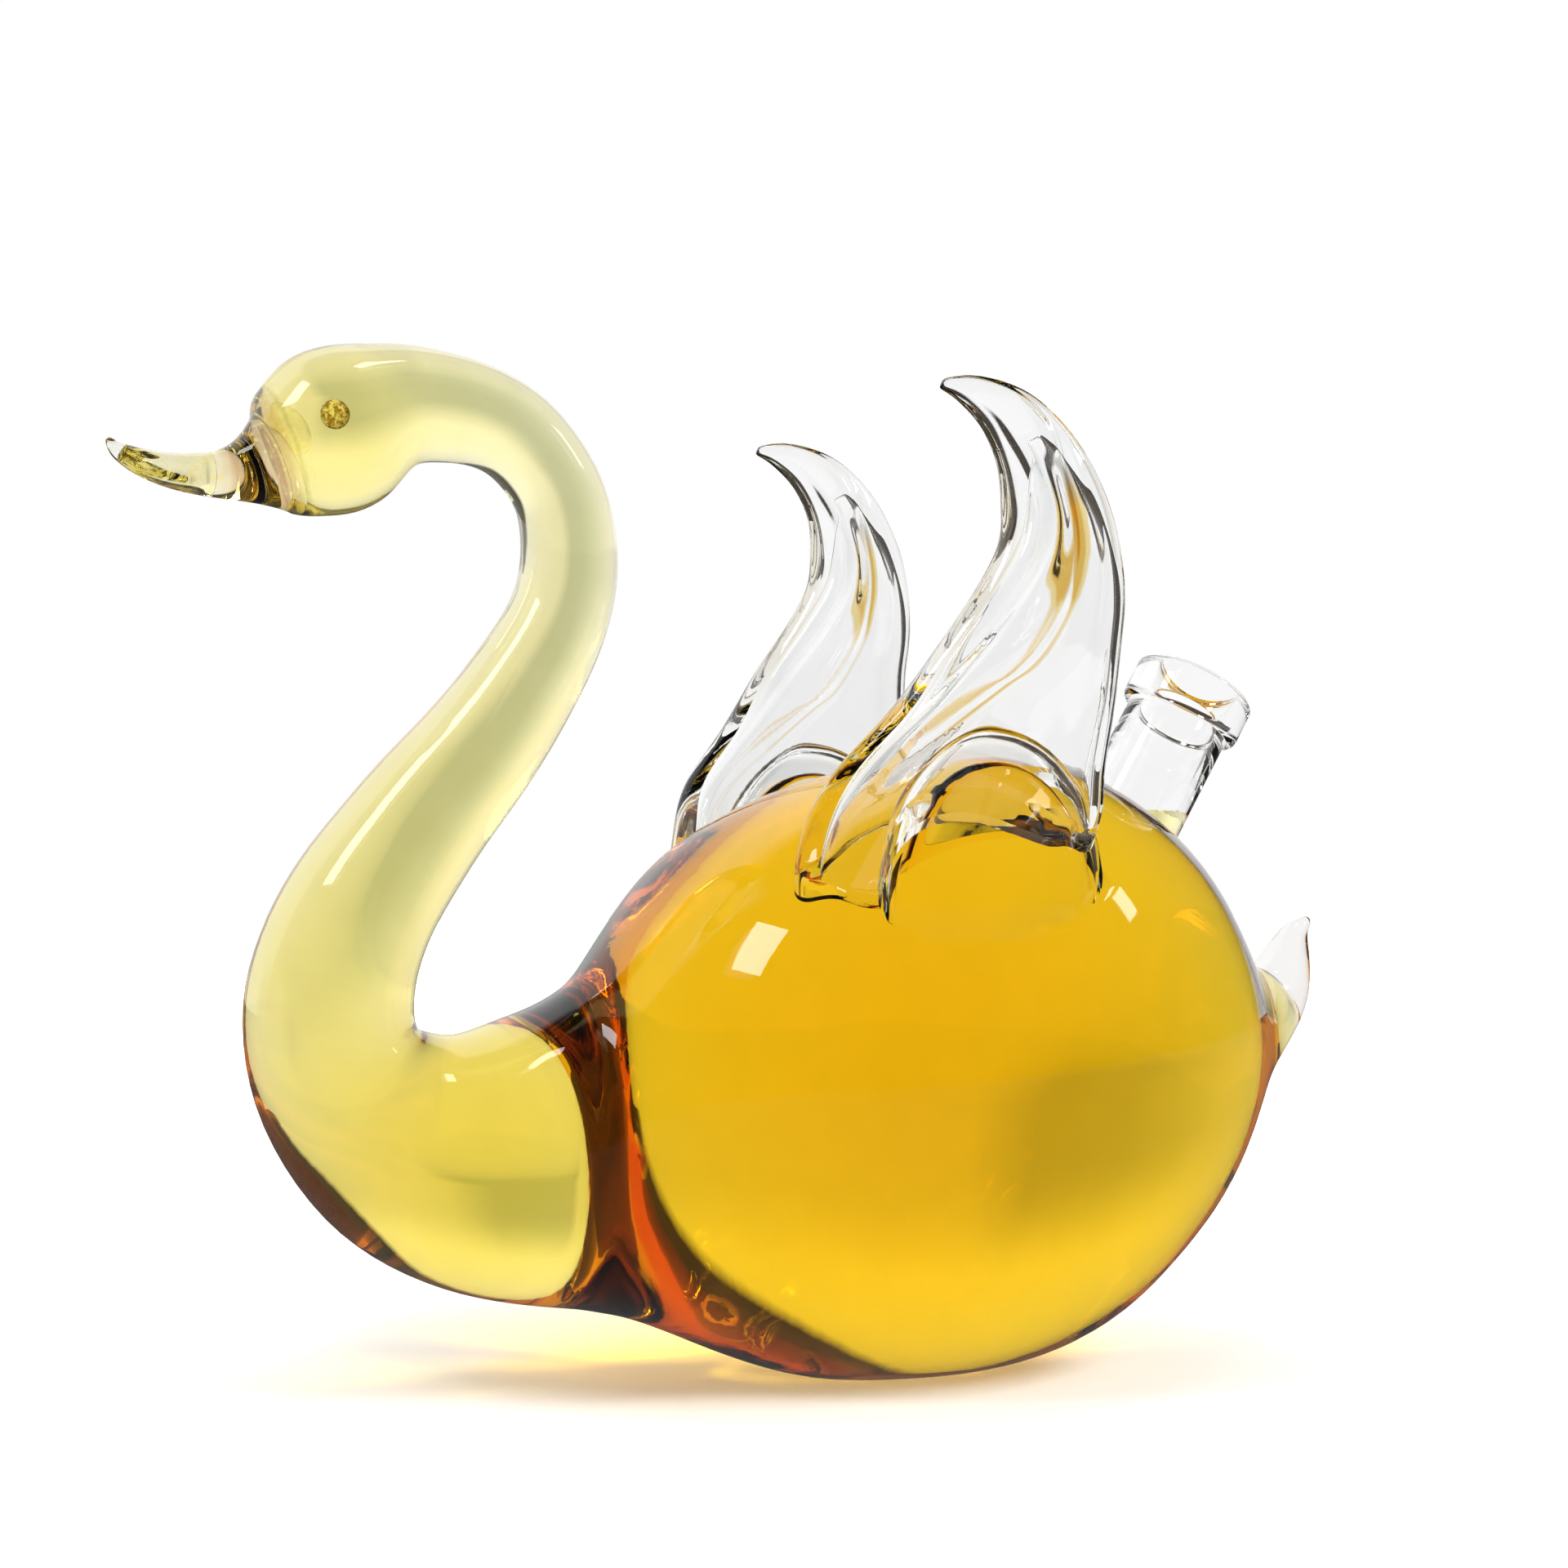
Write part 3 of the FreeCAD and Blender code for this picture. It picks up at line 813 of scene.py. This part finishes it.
def place_in_wing(places, point):
    """Place across the chord and rise of a point, between the two sections next to it."""
    best = None
    lower = None
    for middle, half_chord, _, lean, out, up in places:
        off = point - middle
        tilt = math.radians(lean)
        above = off.z * math.cos(tilt) - off.x * math.sin(tilt)
        across = (off.x * math.cos(tilt) + off.z * math.sin(tilt)) / half_chord
        across /= math.cos(math.radians(out))
        if lower and lower[0] >= 0 > above:
            t = lower[0] / (lower[0] - above)
            found = (blend(lower[1], across, t), blend(lower[2], up, t))
            if best is None or abs(found[0]) < abs(best[0]):
                best = found
        lower = (above, across, up)
    if best is None:
        return (0.0, 0.0 if point.z < places[0][0].z + ROOT_REACH else 1.0)
    return (max(-WIDEST, min(WIDEST, best[0])), best[1])


def press_flutes(piece, w):
    """Weights the vertices by their place across the chord and presses them in."""
    places = wing_places(w)
    group = piece.vertex_groups.new(name="flutes")
    for vertex in piece.data.vertices:
        across, up = place_in_wing(places, vertex.co)
        weight = 0.0
        for path, deep, wide in FLUTES:
            off = (across - along_path(path, up)) / (w.flute_width * wide)
            weight += deep * math.exp(-off ** 2)
        room = math.sqrt(max(0.0, 1 - min(1.0, abs(across)) ** 2))
        fade = min(1.0, (1.0 - up) / FLUTE_FADE)
        group.add([vertex.index], min(1.0, weight * room * fade), "REPLACE")
    modify(
        piece, "DISPLACE", strength=-w.flute_depth, mid_level=0.0, vertex_group="flutes",
        direction="NORMAL",
    )


# ---------------------------------------------------------------- materials

def feed(tree, made, inputs):
    """Links a socket, or sets a value, to each input of a node."""
    for key, value in inputs.items():
        if isinstance(value, bpy.types.NodeSocket):
            tree.links.new(value, made.inputs[key])
        else:
            made.inputs[key].default_value = value


def node(tree, kind, place, inputs=None, **settings):
    """Adds a node with its settings first, since some of them decide its inputs."""
    made = tree.nodes.new(kind)
    made.location = place
    for key, value in settings.items():
        setattr(made, key, value)
    feed(tree, made, inputs or {})
    return made


def maths(tree, place, operation, *terms):
    """Result of one sum; each term is a socket or a number."""
    inputs = dict(enumerate(terms))
    return node(tree, "ShaderNodeMath", place, inputs, operation=operation).outputs[0]


def reach_along(tree, place, vector, direction):
    """How far a vector reaches along a direction."""
    inputs = {0: vector, 1: direction}
    made = node(tree, "ShaderNodeVectorMath", place, inputs, operation="DOT_PRODUCT")
    return made.outputs["Value"]


def remap(tree, place, value, low, high, to_low=0.0, to_high=1.0, **settings):
    """Turns the range from low to high into 0 to 1, or into the two last values."""
    inputs = {
        "Value": value, "From Min": low, "From Max": high, "To Min": to_low, "To Max": to_high,
    }
    return node(tree, "ShaderNodeMapRange", place, inputs, **settings).outputs["Result"]


def noise(tree, place, where, scale, detail=2.0, distortion=0.0):
    inputs = {"Vector": where, "Scale": scale, "Detail": detail, "Distortion": distortion}
    return node(tree, "ShaderNodeTexNoise", place, inputs).outputs["Fac"]


def graded(tree, place, value, shades):
    """Colour ramp through a table of (value, colour)."""
    made = node(tree, "ShaderNodeValToRGB", place, {"Fac": value})
    elements = made.color_ramp.elements
    for number, (position, shade) in enumerate(shades):
        element = elements[number] if number < 2 else elements.new(position)
        element.position = position
        element.color = (*shade, 1)
    return made.outputs["Color"]


def mixed(tree, place, mask, first, second, **settings):
    """Colour that goes from the first to the second as the mask goes from 0 to 1."""
    inputs = {"Factor": mask, "A": first, "B": second}
    made = node(tree, "ShaderNodeMix", place, inputs, data_type="RGBA", **settings)
    return made.outputs["Result"]


def grey(level):
    return (level, level, level, 1)


def object_place(tree, place):
    return node(tree, "ShaderNodeTexCoord", place).outputs["Object"]


def split_up(tree, place, vector):
    return node(tree, "ShaderNodeSeparateXYZ", place, {"Vector": vector}).outputs


def new_group(name, inputs, outputs):
    """An empty node group with number sockets."""
    group = bpy.data.node_groups.new(name, "ShaderNodeTree")
    kind = "NodeSocketFloat"
    for label, default in inputs.items():
        socket = group.interface.new_socket(name=label, in_out="INPUT", socket_type=kind)
        socket.default_value = default
    for label in outputs:
        group.interface.new_socket(name=label, in_out="OUTPUT", socket_type=kind)
    return group


def unevenness_group():
    """Node group: soft ripples and faint cloudiness of hand-blown glass."""
    name = "Blown unevenness"
    if name in bpy.data.node_groups:
        return bpy.data.node_groups[name]
    group = new_group(name, {"Scale": 30.0, "Stretch": 1.0}, ("Height", "Cloud"))
    source = node(group, "NodeGroupInput", (-700, 0))
    where = object_place(group, (-700, -200))
    scale, stretch = source.outputs["Scale"], source.outputs["Stretch"]
    broad = noise(group, (-400, 100), where, scale, detail=1.0, distortion=stretch)
    fine = noise(group, (-400, -200), where, CLOUD_SCALE, detail=3.0)
    height = maths(group, (-150, 50), "MULTIPLY_ADD", fine, CLOUD_SHARE, broad)
    node(group, "NodeGroupOutput", (150, 0), {"Height": height, "Cloud": fine})
    return group


def new_material(name):
    """A material with a plain shader linked to its output."""
    material = bpy.data.materials.new(name)
    material.use_nodes = True
    tree = material.node_tree
    tree.nodes.clear()
    shader = node(tree, "ShaderNodeBsdfPrincipled", (200, 0))
    surface = {"Surface": shader.outputs["BSDF"]}
    out = node(tree, "ShaderNodeOutputMaterial", (500, 0), surface)
    return material, tree, shader, out


def glass_shader(name, bending, reflected=1.0, clear=1.0, roughness=0.0):
    """Glass or wine: how it bends light, and the shares of it that are mirrored and let through."""
    material, tree, shader, out = new_material(name)
    feed(tree, shader, {
        "IOR": bending, "Specular Tint": grey(reflected),
        "Transmission Weight": clear, "Roughness": roughness,
    })
    return material, tree, shader, out


def surfaced(tree, shader, colour, height, strength, distance):
    """Gives the shader its colour and a bumped normal."""
    inputs = {"Height": height, "Strength": strength, "Distance": distance}
    bump = node(tree, "ShaderNodeBump", (-200, -200), inputs)
    feed(tree, shader, {"Base Color": colour, "Normal": bump.outputs["Normal"]})


def unevenness(tree, shader, scale, stretch, strength, distance=0.0010, dim=FAINT_CLOUD):
    """Ripples to the shader's normal and faint clouds to its colour."""
    inputs = {"Scale": scale, "Stretch": stretch}
    group = node(tree, "ShaderNodeGroup", (-500, 0), inputs, node_tree=unevenness_group())
    shades = ((0.35, dim), (0.65, (1.0, 1.0, 1.0)))
    colour = graded(tree, (-200, 150), group.outputs["Cloud"], shades)
    surfaced(tree, shader, colour, group.outputs["Height"], strength, distance)


def tinted(tree, shader, mask, tint):
    """Lays a tint over the shader's colour where the mask is on."""
    below = shader.inputs["Base Color"].links[0].from_socket
    colour = mixed(tree, (0, 300), mask, below, tint, blend_type="MULTIPLY")
    feed(tree, shader, {"Base Color": colour})


def beak_seam(s):
    """The seam's place along the leaning line on which the beak's colour is laid."""
    x, z = head_sections(s)[-1][:2]
    return BEAK_LINE[0] * x + BEAK_LINE[2] * z


def vessel_glass(scene):
    """Clear glass, amber-brown at the beak's root, where the beak was drawn from the head."""
    name = "Clear blown glass"
    if name in bpy.data.materials:
        return bpy.data.materials[name]
    glass, vessel = scene.swan_glass, scene.swan_vessel
    material, tree, shader, _ = glass_shader(name, glass.ior)
    unevenness(tree, shader, scale=22.0, stretch=0.3, strength=glass.ripple)
    where = object_place(tree, (-1500, 600))
    back = reach_along(tree, (-1300, 600), where, BEAK_LINE)
    waver = noise(tree, (-1300, 350), where, scale=260.0)
    back = maths(tree, (-1100, 500), "MULTIPLY_ADD", waver, SEAM_WAVER, back)
    tip = beak_seam(vessel) - vessel.beak_length
    end = beak_seam(vessel) + SEAM_BACK
    place = remap(tree, (-900, 500), back, tip, end)
    shade = graded(tree, (-650, 500), place, BEAK_SHADES)
    gold = noise(tree, (-1100, 850), where, scale=420.0, detail=4.0, distortion=1.5)
    flecks = remap(tree, (-900, 850), gold, 0.57, 0.66)
    lighter = mixed(tree, (-350, 600), flecks, shade, GOLD_FLECK)
    front = maths(tree, (-650, 800), "LESS_THAN", back, end)
    height = split_up(tree, (-900, 1050), where)["Z"]
    high = maths(tree, (-650, 1000), "GREATER_THAN", height, BEAK_LOWEST)
    on_beak = maths(tree, (-400, 900), "MULTIPLY", front, high)
    tinted(tree, shader, on_beak, lighter)
    return material


def flute_curve(tree, place, rise, path, scale=1.0, offset=0.0):
    """Curve through a table of (rise, value), the value scaled and shifted into 0 to 1."""
    made = node(tree, "ShaderNodeFloatCurve", place, {"Value": rise})
    curve = made.mapping.curves[0]
    for number, (up, value) in enumerate(path):
        point = curve.points[number] if number < 2 else curve.points.new(up, 0.0)
        point.location = (up, value * scale + offset)
    made.mapping.update()
    return made.outputs["Value"]


def thread_group():
    """Node group: masks for the amber thread along a wing's main flute, for its top, and for the
    painted shade along the front edge.
    """
    name = "Amber thread"
    if name in bpy.data.node_groups:
        return bpy.data.node_groups[name]
    group = new_group(name, {"Widest": 0.1}, ("Thread", "Top", "Front"))
    source = node(group, "NodeGroupInput", (-1300, -300))
    where = node(group, "ShaderNodeAttribute", (-1300, 0), attribute_name="wing_place")
    split = split_up(group, (-1100, 0), where.outputs["Vector"])
    across, rise = split["X"], split["Y"]
    middle = flute_curve(group, (-900, 200), rise, MAIN_FLUTE, 0.5, 0.5)
    middle = maths(group, (-600, 200), "MULTIPLY_ADD", middle, 2.0, -1.0)
    off = maths(group, (-400, 200), "SUBTRACT", across, middle)
    off = maths(group, (-200, 200), "ABSOLUTE", off)
    width = flute_curve(group, (-900, -200), rise, THREAD_WIDTH)
    width = maths(group, (-600, -200), "MULTIPLY", width, source.outputs["Widest"])
    inside = maths(group, (0, 100), "SUBTRACT", width, off)
    thread = remap(group, (200, 100), inside, -0.012, 0.018)
    # Top: where the thread turns dark grey, towards the wing's tip.
    top = remap(group, (200, -200), rise, 0.79, 0.85)
    # Front: the front edge from mid-rise up, which gets a painted shade.
    edge = remap(group, (200, -450), across, -0.80, -0.97)
    high = remap(group, (200, -700), rise, 0.45, 0.60)
    front = maths(group, (450, -500), "MULTIPLY", edge, high)
    node(group, "NodeGroupOutput", (700, 0), {"Thread": thread, "Top": top, "Front": front})
    return group


def wing_glass(scene, name):
    """Clear glass with an amber thread along the main flute that turns dark grey at its top, and a
    painted shade along the front edge.
    """
    glass = scene.swan_glass
    material, tree, shader, _ = glass_shader(name + " glass", glass.ior)
    unevenness(tree, shader, scale=40.0, stretch=0.6, strength=glass.ripple * 1.5)
    widest = {"Widest": THREAD_WIDEST[name]}
    group = node(tree, "ShaderNodeGroup", (-700, 500), widest, node_tree=thread_group())
    shade = mixed(tree, (-400, 500), group.outputs["Top"], THREAD_AMBER, THREAD_TOP_GREY)
    tinted(tree, shader, group.outputs["Thread"], shade)
    # Painted shade along the front edge, standing in for its dark fold refractions.
    tinted(tree, shader, group.outputs["Front"], FRONT_PAINTED_SHADE)
    return material


def wetted_glass(scene):
    """The inner wall where wine lies on it, which hardly reflects."""
    name = "Wetted inner glass"
    if name in bpy.data.materials:
        return bpy.data.materials[name]
    glass = scene.swan_glass
    material, tree, shader, _ = glass_shader(name, glass.ior, reflected=WETTED_SHINE)
    unevenness(tree, shader, scale=16.0, stretch=0.2, strength=glass.ripple)
    return material


def golden_wine(scene):
    """Wine that takes on colour with depth and hardly reflects."""
    wine = scene.swan_wine
    made = glass_shader("Golden wine", wine.ior, reflected=WETTED_SHINE)
    material, tree, shader, out = made
    unevenness(
        tree, shader, scale=10.0, stretch=0.0, strength=0.02, distance=0.0005,
        dim=(0.99, 0.985, 0.96),
    )
    inputs = {"Color": (*wine.absorption, 1), "Density": wine.density}
    volume = node(tree, "ShaderNodeVolumeAbsorption", (200, -400), inputs)
    feed(tree, out, {"Volume": volume.outputs[0]})
    return material


def eye_glass(name, pale, dim, clear, bending):
    """Amber glass full of golden flecks; clear is the share of light that it lets through."""
    material, tree, shader, _ = glass_shader(name, bending, clear=clear, roughness=0.12)
    where = object_place(tree, (-900, 0))
    flecks = noise(tree, (-700, 0), where, scale=1300.0, detail=3.0, distortion=0.8)
    colour = graded(tree, (-400, 100), flecks, ((0.42, dim), (0.60, pale)))
    surfaced(tree, shader, colour, flecks, strength=0.5, distance=0.0003)
    return material


# ---------------------------------------------------------------- stage

def view_sides(stage):
    """Level directions ahead of the camera and to its right."""
    ahead = Vector((-math.sin(stage.azimuth), math.cos(stage.azimuth), 0))
    return ahead, Vector((ahead.y, -ahead.x, 0))


def side_level(tree, direction, right):
    """Brightness of screen and floor at the horizon, from far left to far right."""
    aside = reach_along(tree, (-900, 600), direction, right)
    centred = remap(tree, (-700, 600), aside, -1.0, 1.0)
    shades = []
    for place, bright in SIDE_SHADES:
        red = SIDE_RED if bright < SIDE_DIM else 1.0
        shades.append((place, (bright * red, bright, bright)))
    return graded(tree, (-500, 600), centred, shades)


def paler_in_clear_glass(tree, path, level):
    """Lifts a brightness towards white for rays that have crossed only clear walls."""
    crossed = path.outputs["Transmission Depth"]
    few = maths(tree, (-300, 900), "LESS_THAN", crossed, CLEAR_CROSSINGS + 0.5)
    through = maths(tree, (-100, 900), "MULTIPLY", few, path.outputs["Is Transmission Ray"])
    part = maths(tree, (100, 900), "MULTIPLY", through, CLEAR_LIFT)
    return mixed(tree, (300, 900), part, level, grey(1.0))


def seen_in_glass(tree, path):
    """One for rays that the glass bends or mirrors before any matt surface."""
    unlit = maths(tree, (350, 700), "LESS_THAN", path.outputs["Diffuse Depth"], 0.5)
    return maths(tree, (550, 700), "MULTIPLY", path.outputs["Is Glossy Ray"], unlit)


def either(tree, place, mask, first, second):
    """The first shader where the mask is off and the second where it is on."""
    inputs = {"Fac": mask, 1: first, 2: second}
    return node(tree, "ShaderNodeMixShader", place, inputs).outputs["Shader"]


def background(tree, place, colour=(1, 1, 1, 1), strength=1.0):
    inputs = {"Color": colour, "Strength": strength}
    return node(tree, "ShaderNodeBackground", place, inputs).outputs[0]


def studio_floor(stage):
    """White floor that keeps the object's shadow and whitens out with distance."""
    material, tree, shader, out = new_material("Studio floor")
    where = object_place(tree, (-900, 0))
    path = node(tree, "ShaderNodeLightPath", (-500, -600))
    distance = node(tree, "ShaderNodeVectorMath", (-700, -300), {0: where}, operation="LENGTH")
    reach = distance.outputs["Value"]
    spots = noise(tree, (-500, 0), where, scale=6.0)
    duller = tuple(c * FLOOR_SPOTS for c in stage.floor)
    near, far = FLOOR_SHADOW
    glow = remap(
        tree, (-500, -300), reach, near, far, stage.floor_glow, 1.0,
        interpolation_type="SMOOTHSTEP",
    )
    feed(tree, shader, {
        "Base Color": graded(tree, (-250, 0), spots, ((0.0, duller), (1.0, stage.floor))),
        "Roughness": 0.9,
        "Specular IOR Level": 0.0,
        "Emission Color": (1, 1, 1, 1),
        "Emission Strength": maths(
            tree, (-250, -400), "MULTIPLY", glow, path.outputs["Is Camera Ray"],
        ),
    })
    outward = node(tree, "ShaderNodeVectorMath", (-1100, 600), {0: where}, operation="NORMALIZE")
    level = side_level(tree, outward.outputs["Vector"], view_sides(stage)[1])
    under = remap(tree, (-500, 300), reach, *FLOOR_UNDER)
    through = mixed(tree, (-250, 500), under, level, grey(stage.floor_through))
    through = paler_in_clear_glass(tree, path, through)
    mirrored = grey(stage.floor_mirrored)
    bright = mixed(tree, (0, -600), path.outputs["Is Transmission Ray"], mirrored, through)
    glass_view = node(tree, "ShaderNodeEmission", (200, -500), {"Color": bright})
    surface = either(
        tree, (500, -200), seen_in_glass(tree, path), shader.outputs["BSDF"],
        glass_view.outputs["Emission"],
    )
    out.location = (750, 0)
    feed(tree, out, {"Surface": surface})
    return material


def screen_mask(tree, where, stage):
    """One inside the lit screen's five edges, with a soft fade at each."""
    ahead, right = view_sides(stage)
    upright = Vector((0, 0, 1))
    slanted = right * SLANT_RIGHT + upright * SLANT_UP
    mask = None
    for side, reach, soft in (
        (right, stage.screen_right, 0.03), (-right, stage.screen_left, 0.03),
        (upright, stage.screen_top, 0.03), (slanted, stage.screen_slant, 0.03),
        (-ahead, stage.screen_near, 0.05),
    ):
        part = reach_along(tree, (-600, -300), where, side)
        edge = math.sin(reach)
        fade = remap(tree, (-350, -400), part, edge - soft, edge + soft, 1.0, 0.0)
        if mask is None:
            mask = fade
        else:
            mask = maths(tree, (-100, -450), "MULTIPLY", mask, fade)
    return mask


def studio_world(scene, stage):
    """A lit screen behind and to the left, brighter towards its top, and a dim warm room on
    every other side.  Straight to the camera the world is white."""
    world = bpy.data.worlds.new("Studio")
    scene.world = world
    world.use_nodes = True
    tree = world.node_tree
    tree.nodes.clear()
    where = node(tree, "ShaderNodeTexCoord", (-1300, 0)).outputs["Generated"]
    path = node(tree, "ShaderNodeLightPath", (200, 500))
    wash = noise(tree, (-350, -150), where, scale=2.2)
    room = graded(tree, (-100, -150), wash, ROOM_SHADES)
    height = split_up(tree, (-900, 400), where)["Z"]
    low, high = (math.sin(math.radians(angle)) for angle in SCREEN_RISE)
    rise = remap(tree, (-700, 400), height, low, high, interpolation_type="SMOOTHSTEP")
    level = side_level(tree, where, view_sides(stage)[1])
    screen = mixed(tree, (-100, 250), rise, level, grey(stage.screen_high))
    screen = paler_in_clear_glass(tree, path, screen)
    view = mixed(tree, (200, 0), screen_mask(tree, where, stage), room, screen)
    toward = reach_along(tree, (-100, -700), where, Vector(stage.sun).normalized())
    light = remap(tree, (100, -700), toward, *SUN_EDGE, stage.world_light, stage.sun_light)
    lit = background(tree, (500, -250), strength=light)
    seen = background(tree, (500, 0), colour=view)
    plain_white = background(tree, (500, 250))
    surface = either(tree, (750, 0), seen_in_glass(tree, path), lit, seen)
    surface = either(tree, (950, 0), path.outputs["Is Camera Ray"], surface, plain_white)
    node(tree, "ShaderNodeOutputWorld", (1150, 0), {"Surface": surface})


def add_lamps(stage):
    """Sets every soft box in its direction and aims it at the object."""
    for name, (direction, distance, size, power) in LAMPS.items():
        data = bpy.data.lights.new(name, "AREA")
        data.shape = "RECTANGLE"
        data.size, data.size_y = size
        data.energy = power
        lamp = bpy.data.objects.new(name, data)
        bpy.context.collection.objects.link(lamp)
        lamp.location = Vector(stage.aim) + Vector(direction).normalized() * distance
        lamp.rotation_euler = (-Vector(direction)).to_track_quat("-Z", "Y").to_euler()


def add_camera(scene, stage):
    """Sets the camera at its height and distance and aims it at the object."""
    back = Vector((math.sin(stage.azimuth), -math.cos(stage.azimuth), 0))
    place = Vector(stage.aim) + back * stage.distance
    place.z = stage.height
    camera = bpy.data.objects.new("camera", bpy.data.cameras.new("camera"))
    bpy.context.collection.objects.link(camera)
    camera.data.lens = stage.lens
    camera.data.sensor_width = SENSOR_WIDTH
    camera.location = place
    camera.rotation_euler = (Vector(stage.aim) - place).to_track_quat("-Z", "Y").to_euler()
    scene.camera = camera


# ---------------------------------------------------------------- operators

class SWAN_OT_vessel(bpy.types.Operator):
    """Blows the vessel: beak, head, neck, chest, body, tail and filler neck"""

    bl_idname = "swan.vessel"
    bl_label = "Vessel"

    def execute(self, context):
        scene = context.scene
        glass = vessel_outside(scene, "vessel_glass")
        coat(glass, vessel_glass(scene))
        neck = spout_outside(scene.swan_spout)
        coat(neck, vessel_glass(scene))
        combine(glass, neck, "UNION")
        for hollow in (
            vessel_cavity(scene, "cavity"), beak_cavity(scene, "beak_hollow"),
            spout_bore(scene.swan_spout),
        ):
            coat(hollow, wetted_glass(scene))
            combine(glass, hollow, "DIFFERENCE")
        settle(glass)
        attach(glass, "root")
        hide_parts("body_bulb", "neck_tube", "head_bulb", "beak", "filler_neck", "mouth_ring", "tail")
        return {"FINISHED"}


class SWAN_OT_wine(bpy.types.Operator):
    """Fills the vessel with wine up to its level in the filler neck"""

    bl_idname = "swan.wine"
    bl_label = "Wine"

    def execute(self, context):
        scene = context.scene
        w = scene.swan_wine
        wine = vessel_cavity(scene, "wine", w.shoulder_gap, w.shoulder_air)
        plug = spout_bore(scene.swan_spout)
        slice_off(plug, (0, 0, w.level), (0, 0, -1))
        combine(wine, plug, "UNION")
        combine(wine, beak_cavity(scene, "beak_wine"), "UNION")
        settle(wine)
        swell(wine, w.overlap)
        coat(wine, golden_wine(scene))
        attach(wine, "root")
        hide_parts("wine_fill")
        return {"FINISHED"}


class SWAN_OT_wings(bpy.types.Operator):
    """Draws the two hollow fluted wings and seats them on the shoulders"""

    bl_idname = "swan.wings"
    bl_label = "Wings"

    def execute(self, context):
        scene = context.scene
        w = scene.swan_wing
        left = wing_shape(scene, "wing_left_glass", False)
        hollow = wing_shape(scene, "wing_hollow", True)
        seat = vessel_outside(scene, "seat")
        swell(seat, -w.seat)
        combine(left, seat, "DIFFERENCE")
        combine(left, hollow, "DIFFERENCE")
        settle(left)
        mark_places(left, w)
        right = copied(left, "wing_right_glass")
        edit_all(right)
        bpy.ops.transform.mirror(
            constraint_axis=(False, True, False), center_override=(0, 0, 0),
        )
        bpy.ops.object.mode_set(mode="OBJECT")
        settle(right)
        for piece, name in ((left, "wing_left"), (right, "wing_right")):
            coat(piece, wing_glass(scene, name))
            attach(piece, "root")
            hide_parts(name)
        return {"FINISHED"}


class SWAN_OT_eyes(bpy.types.Operator):
    """Presses the two amber beads of the eyes"""

    bl_idname = "swan.eyes"
    bl_label = "Eyes"

    def execute(self, context):
        scene = context.scene
        for side, look in EYES.items():
            low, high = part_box("eye_" + side)
            eye = ball("eye_bead_" + side, (low + high) / 2, (high - low) / 2)
            settle(eye, 60)
            eye.data.materials.append(eye_glass(*look))
            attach(eye, "root")
            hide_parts("eye_" + side)
        return {"FINISHED"}


class SWAN_OT_stage(bpy.types.Operator):
    """Sets the floor, the lamps, the world and the camera"""

    bl_idname = "swan.stage"
    bl_label = "Studio"

    def execute(self, context):
        scene = context.scene
        stage = scene.swan_stage
        nothing_selected()
        bpy.ops.mesh.primitive_plane_add(size=FLOOR_SIZE, location=(0, 0, 0))
        floor = context.object
        floor.name = "floor"
        floor.data.materials.append(studio_floor(stage))
        studio_world(scene, stage)
        add_lamps(stage)
        add_camera(scene, stage)
        scene.view_settings.view_transform = "Standard"
        scene.cycles.blur_glossy = 0.0
        scene.cycles.max_bounces = 32
        scene.cycles.transmission_bounces = 24
        scene.cycles.glossy_bounces = 8
        scene.cycles.transparent_max_bounces = 16
        return {"FINISHED"}


class SWAN_PT_panel(bpy.types.Panel):
    """Lists the steps that build the decanter"""

    bl_idname = "SWAN_PT_panel"
    bl_label = "Swan Decanter"
    bl_space_type = "VIEW_3D"
    bl_region_type = "UI"
    bl_category = "Decanter"

    def draw(self, context):
        layout = self.layout
        for operator in STEPS:
            layout.operator(operator.bl_idname)
        for key in SETTINGS:
            box = layout.box()
            box.label(text=key.replace("_", " ").title())
            settings = getattr(context.scene, key)
            for field in type(settings).__annotations__:
                box.prop(settings, field)


STEPS = (SWAN_OT_vessel, SWAN_OT_wine, SWAN_OT_wings, SWAN_OT_eyes, SWAN_OT_stage)


def register():
    for kind in (*SETTINGS.values(), *STEPS, SWAN_PT_panel):
        bpy.utils.register_class(kind)
    for key, kind in SETTINGS.items():
        setattr(bpy.types.Scene, key, bpy.props.PointerProperty(type=kind))


def unregister():
    for key in SETTINGS:
        delattr(bpy.types.Scene, key)
    for kind in reversed((*SETTINGS.values(), *STEPS, SWAN_PT_panel)):
        bpy.utils.unregister_class(kind)


def main():
    register()
    bpy.ops.swan.vessel()
    bpy.ops.swan.wine()
    bpy.ops.swan.wings()
    bpy.ops.swan.eyes()
    bpy.ops.swan.stage()


if __name__ == "__main__":
    main()
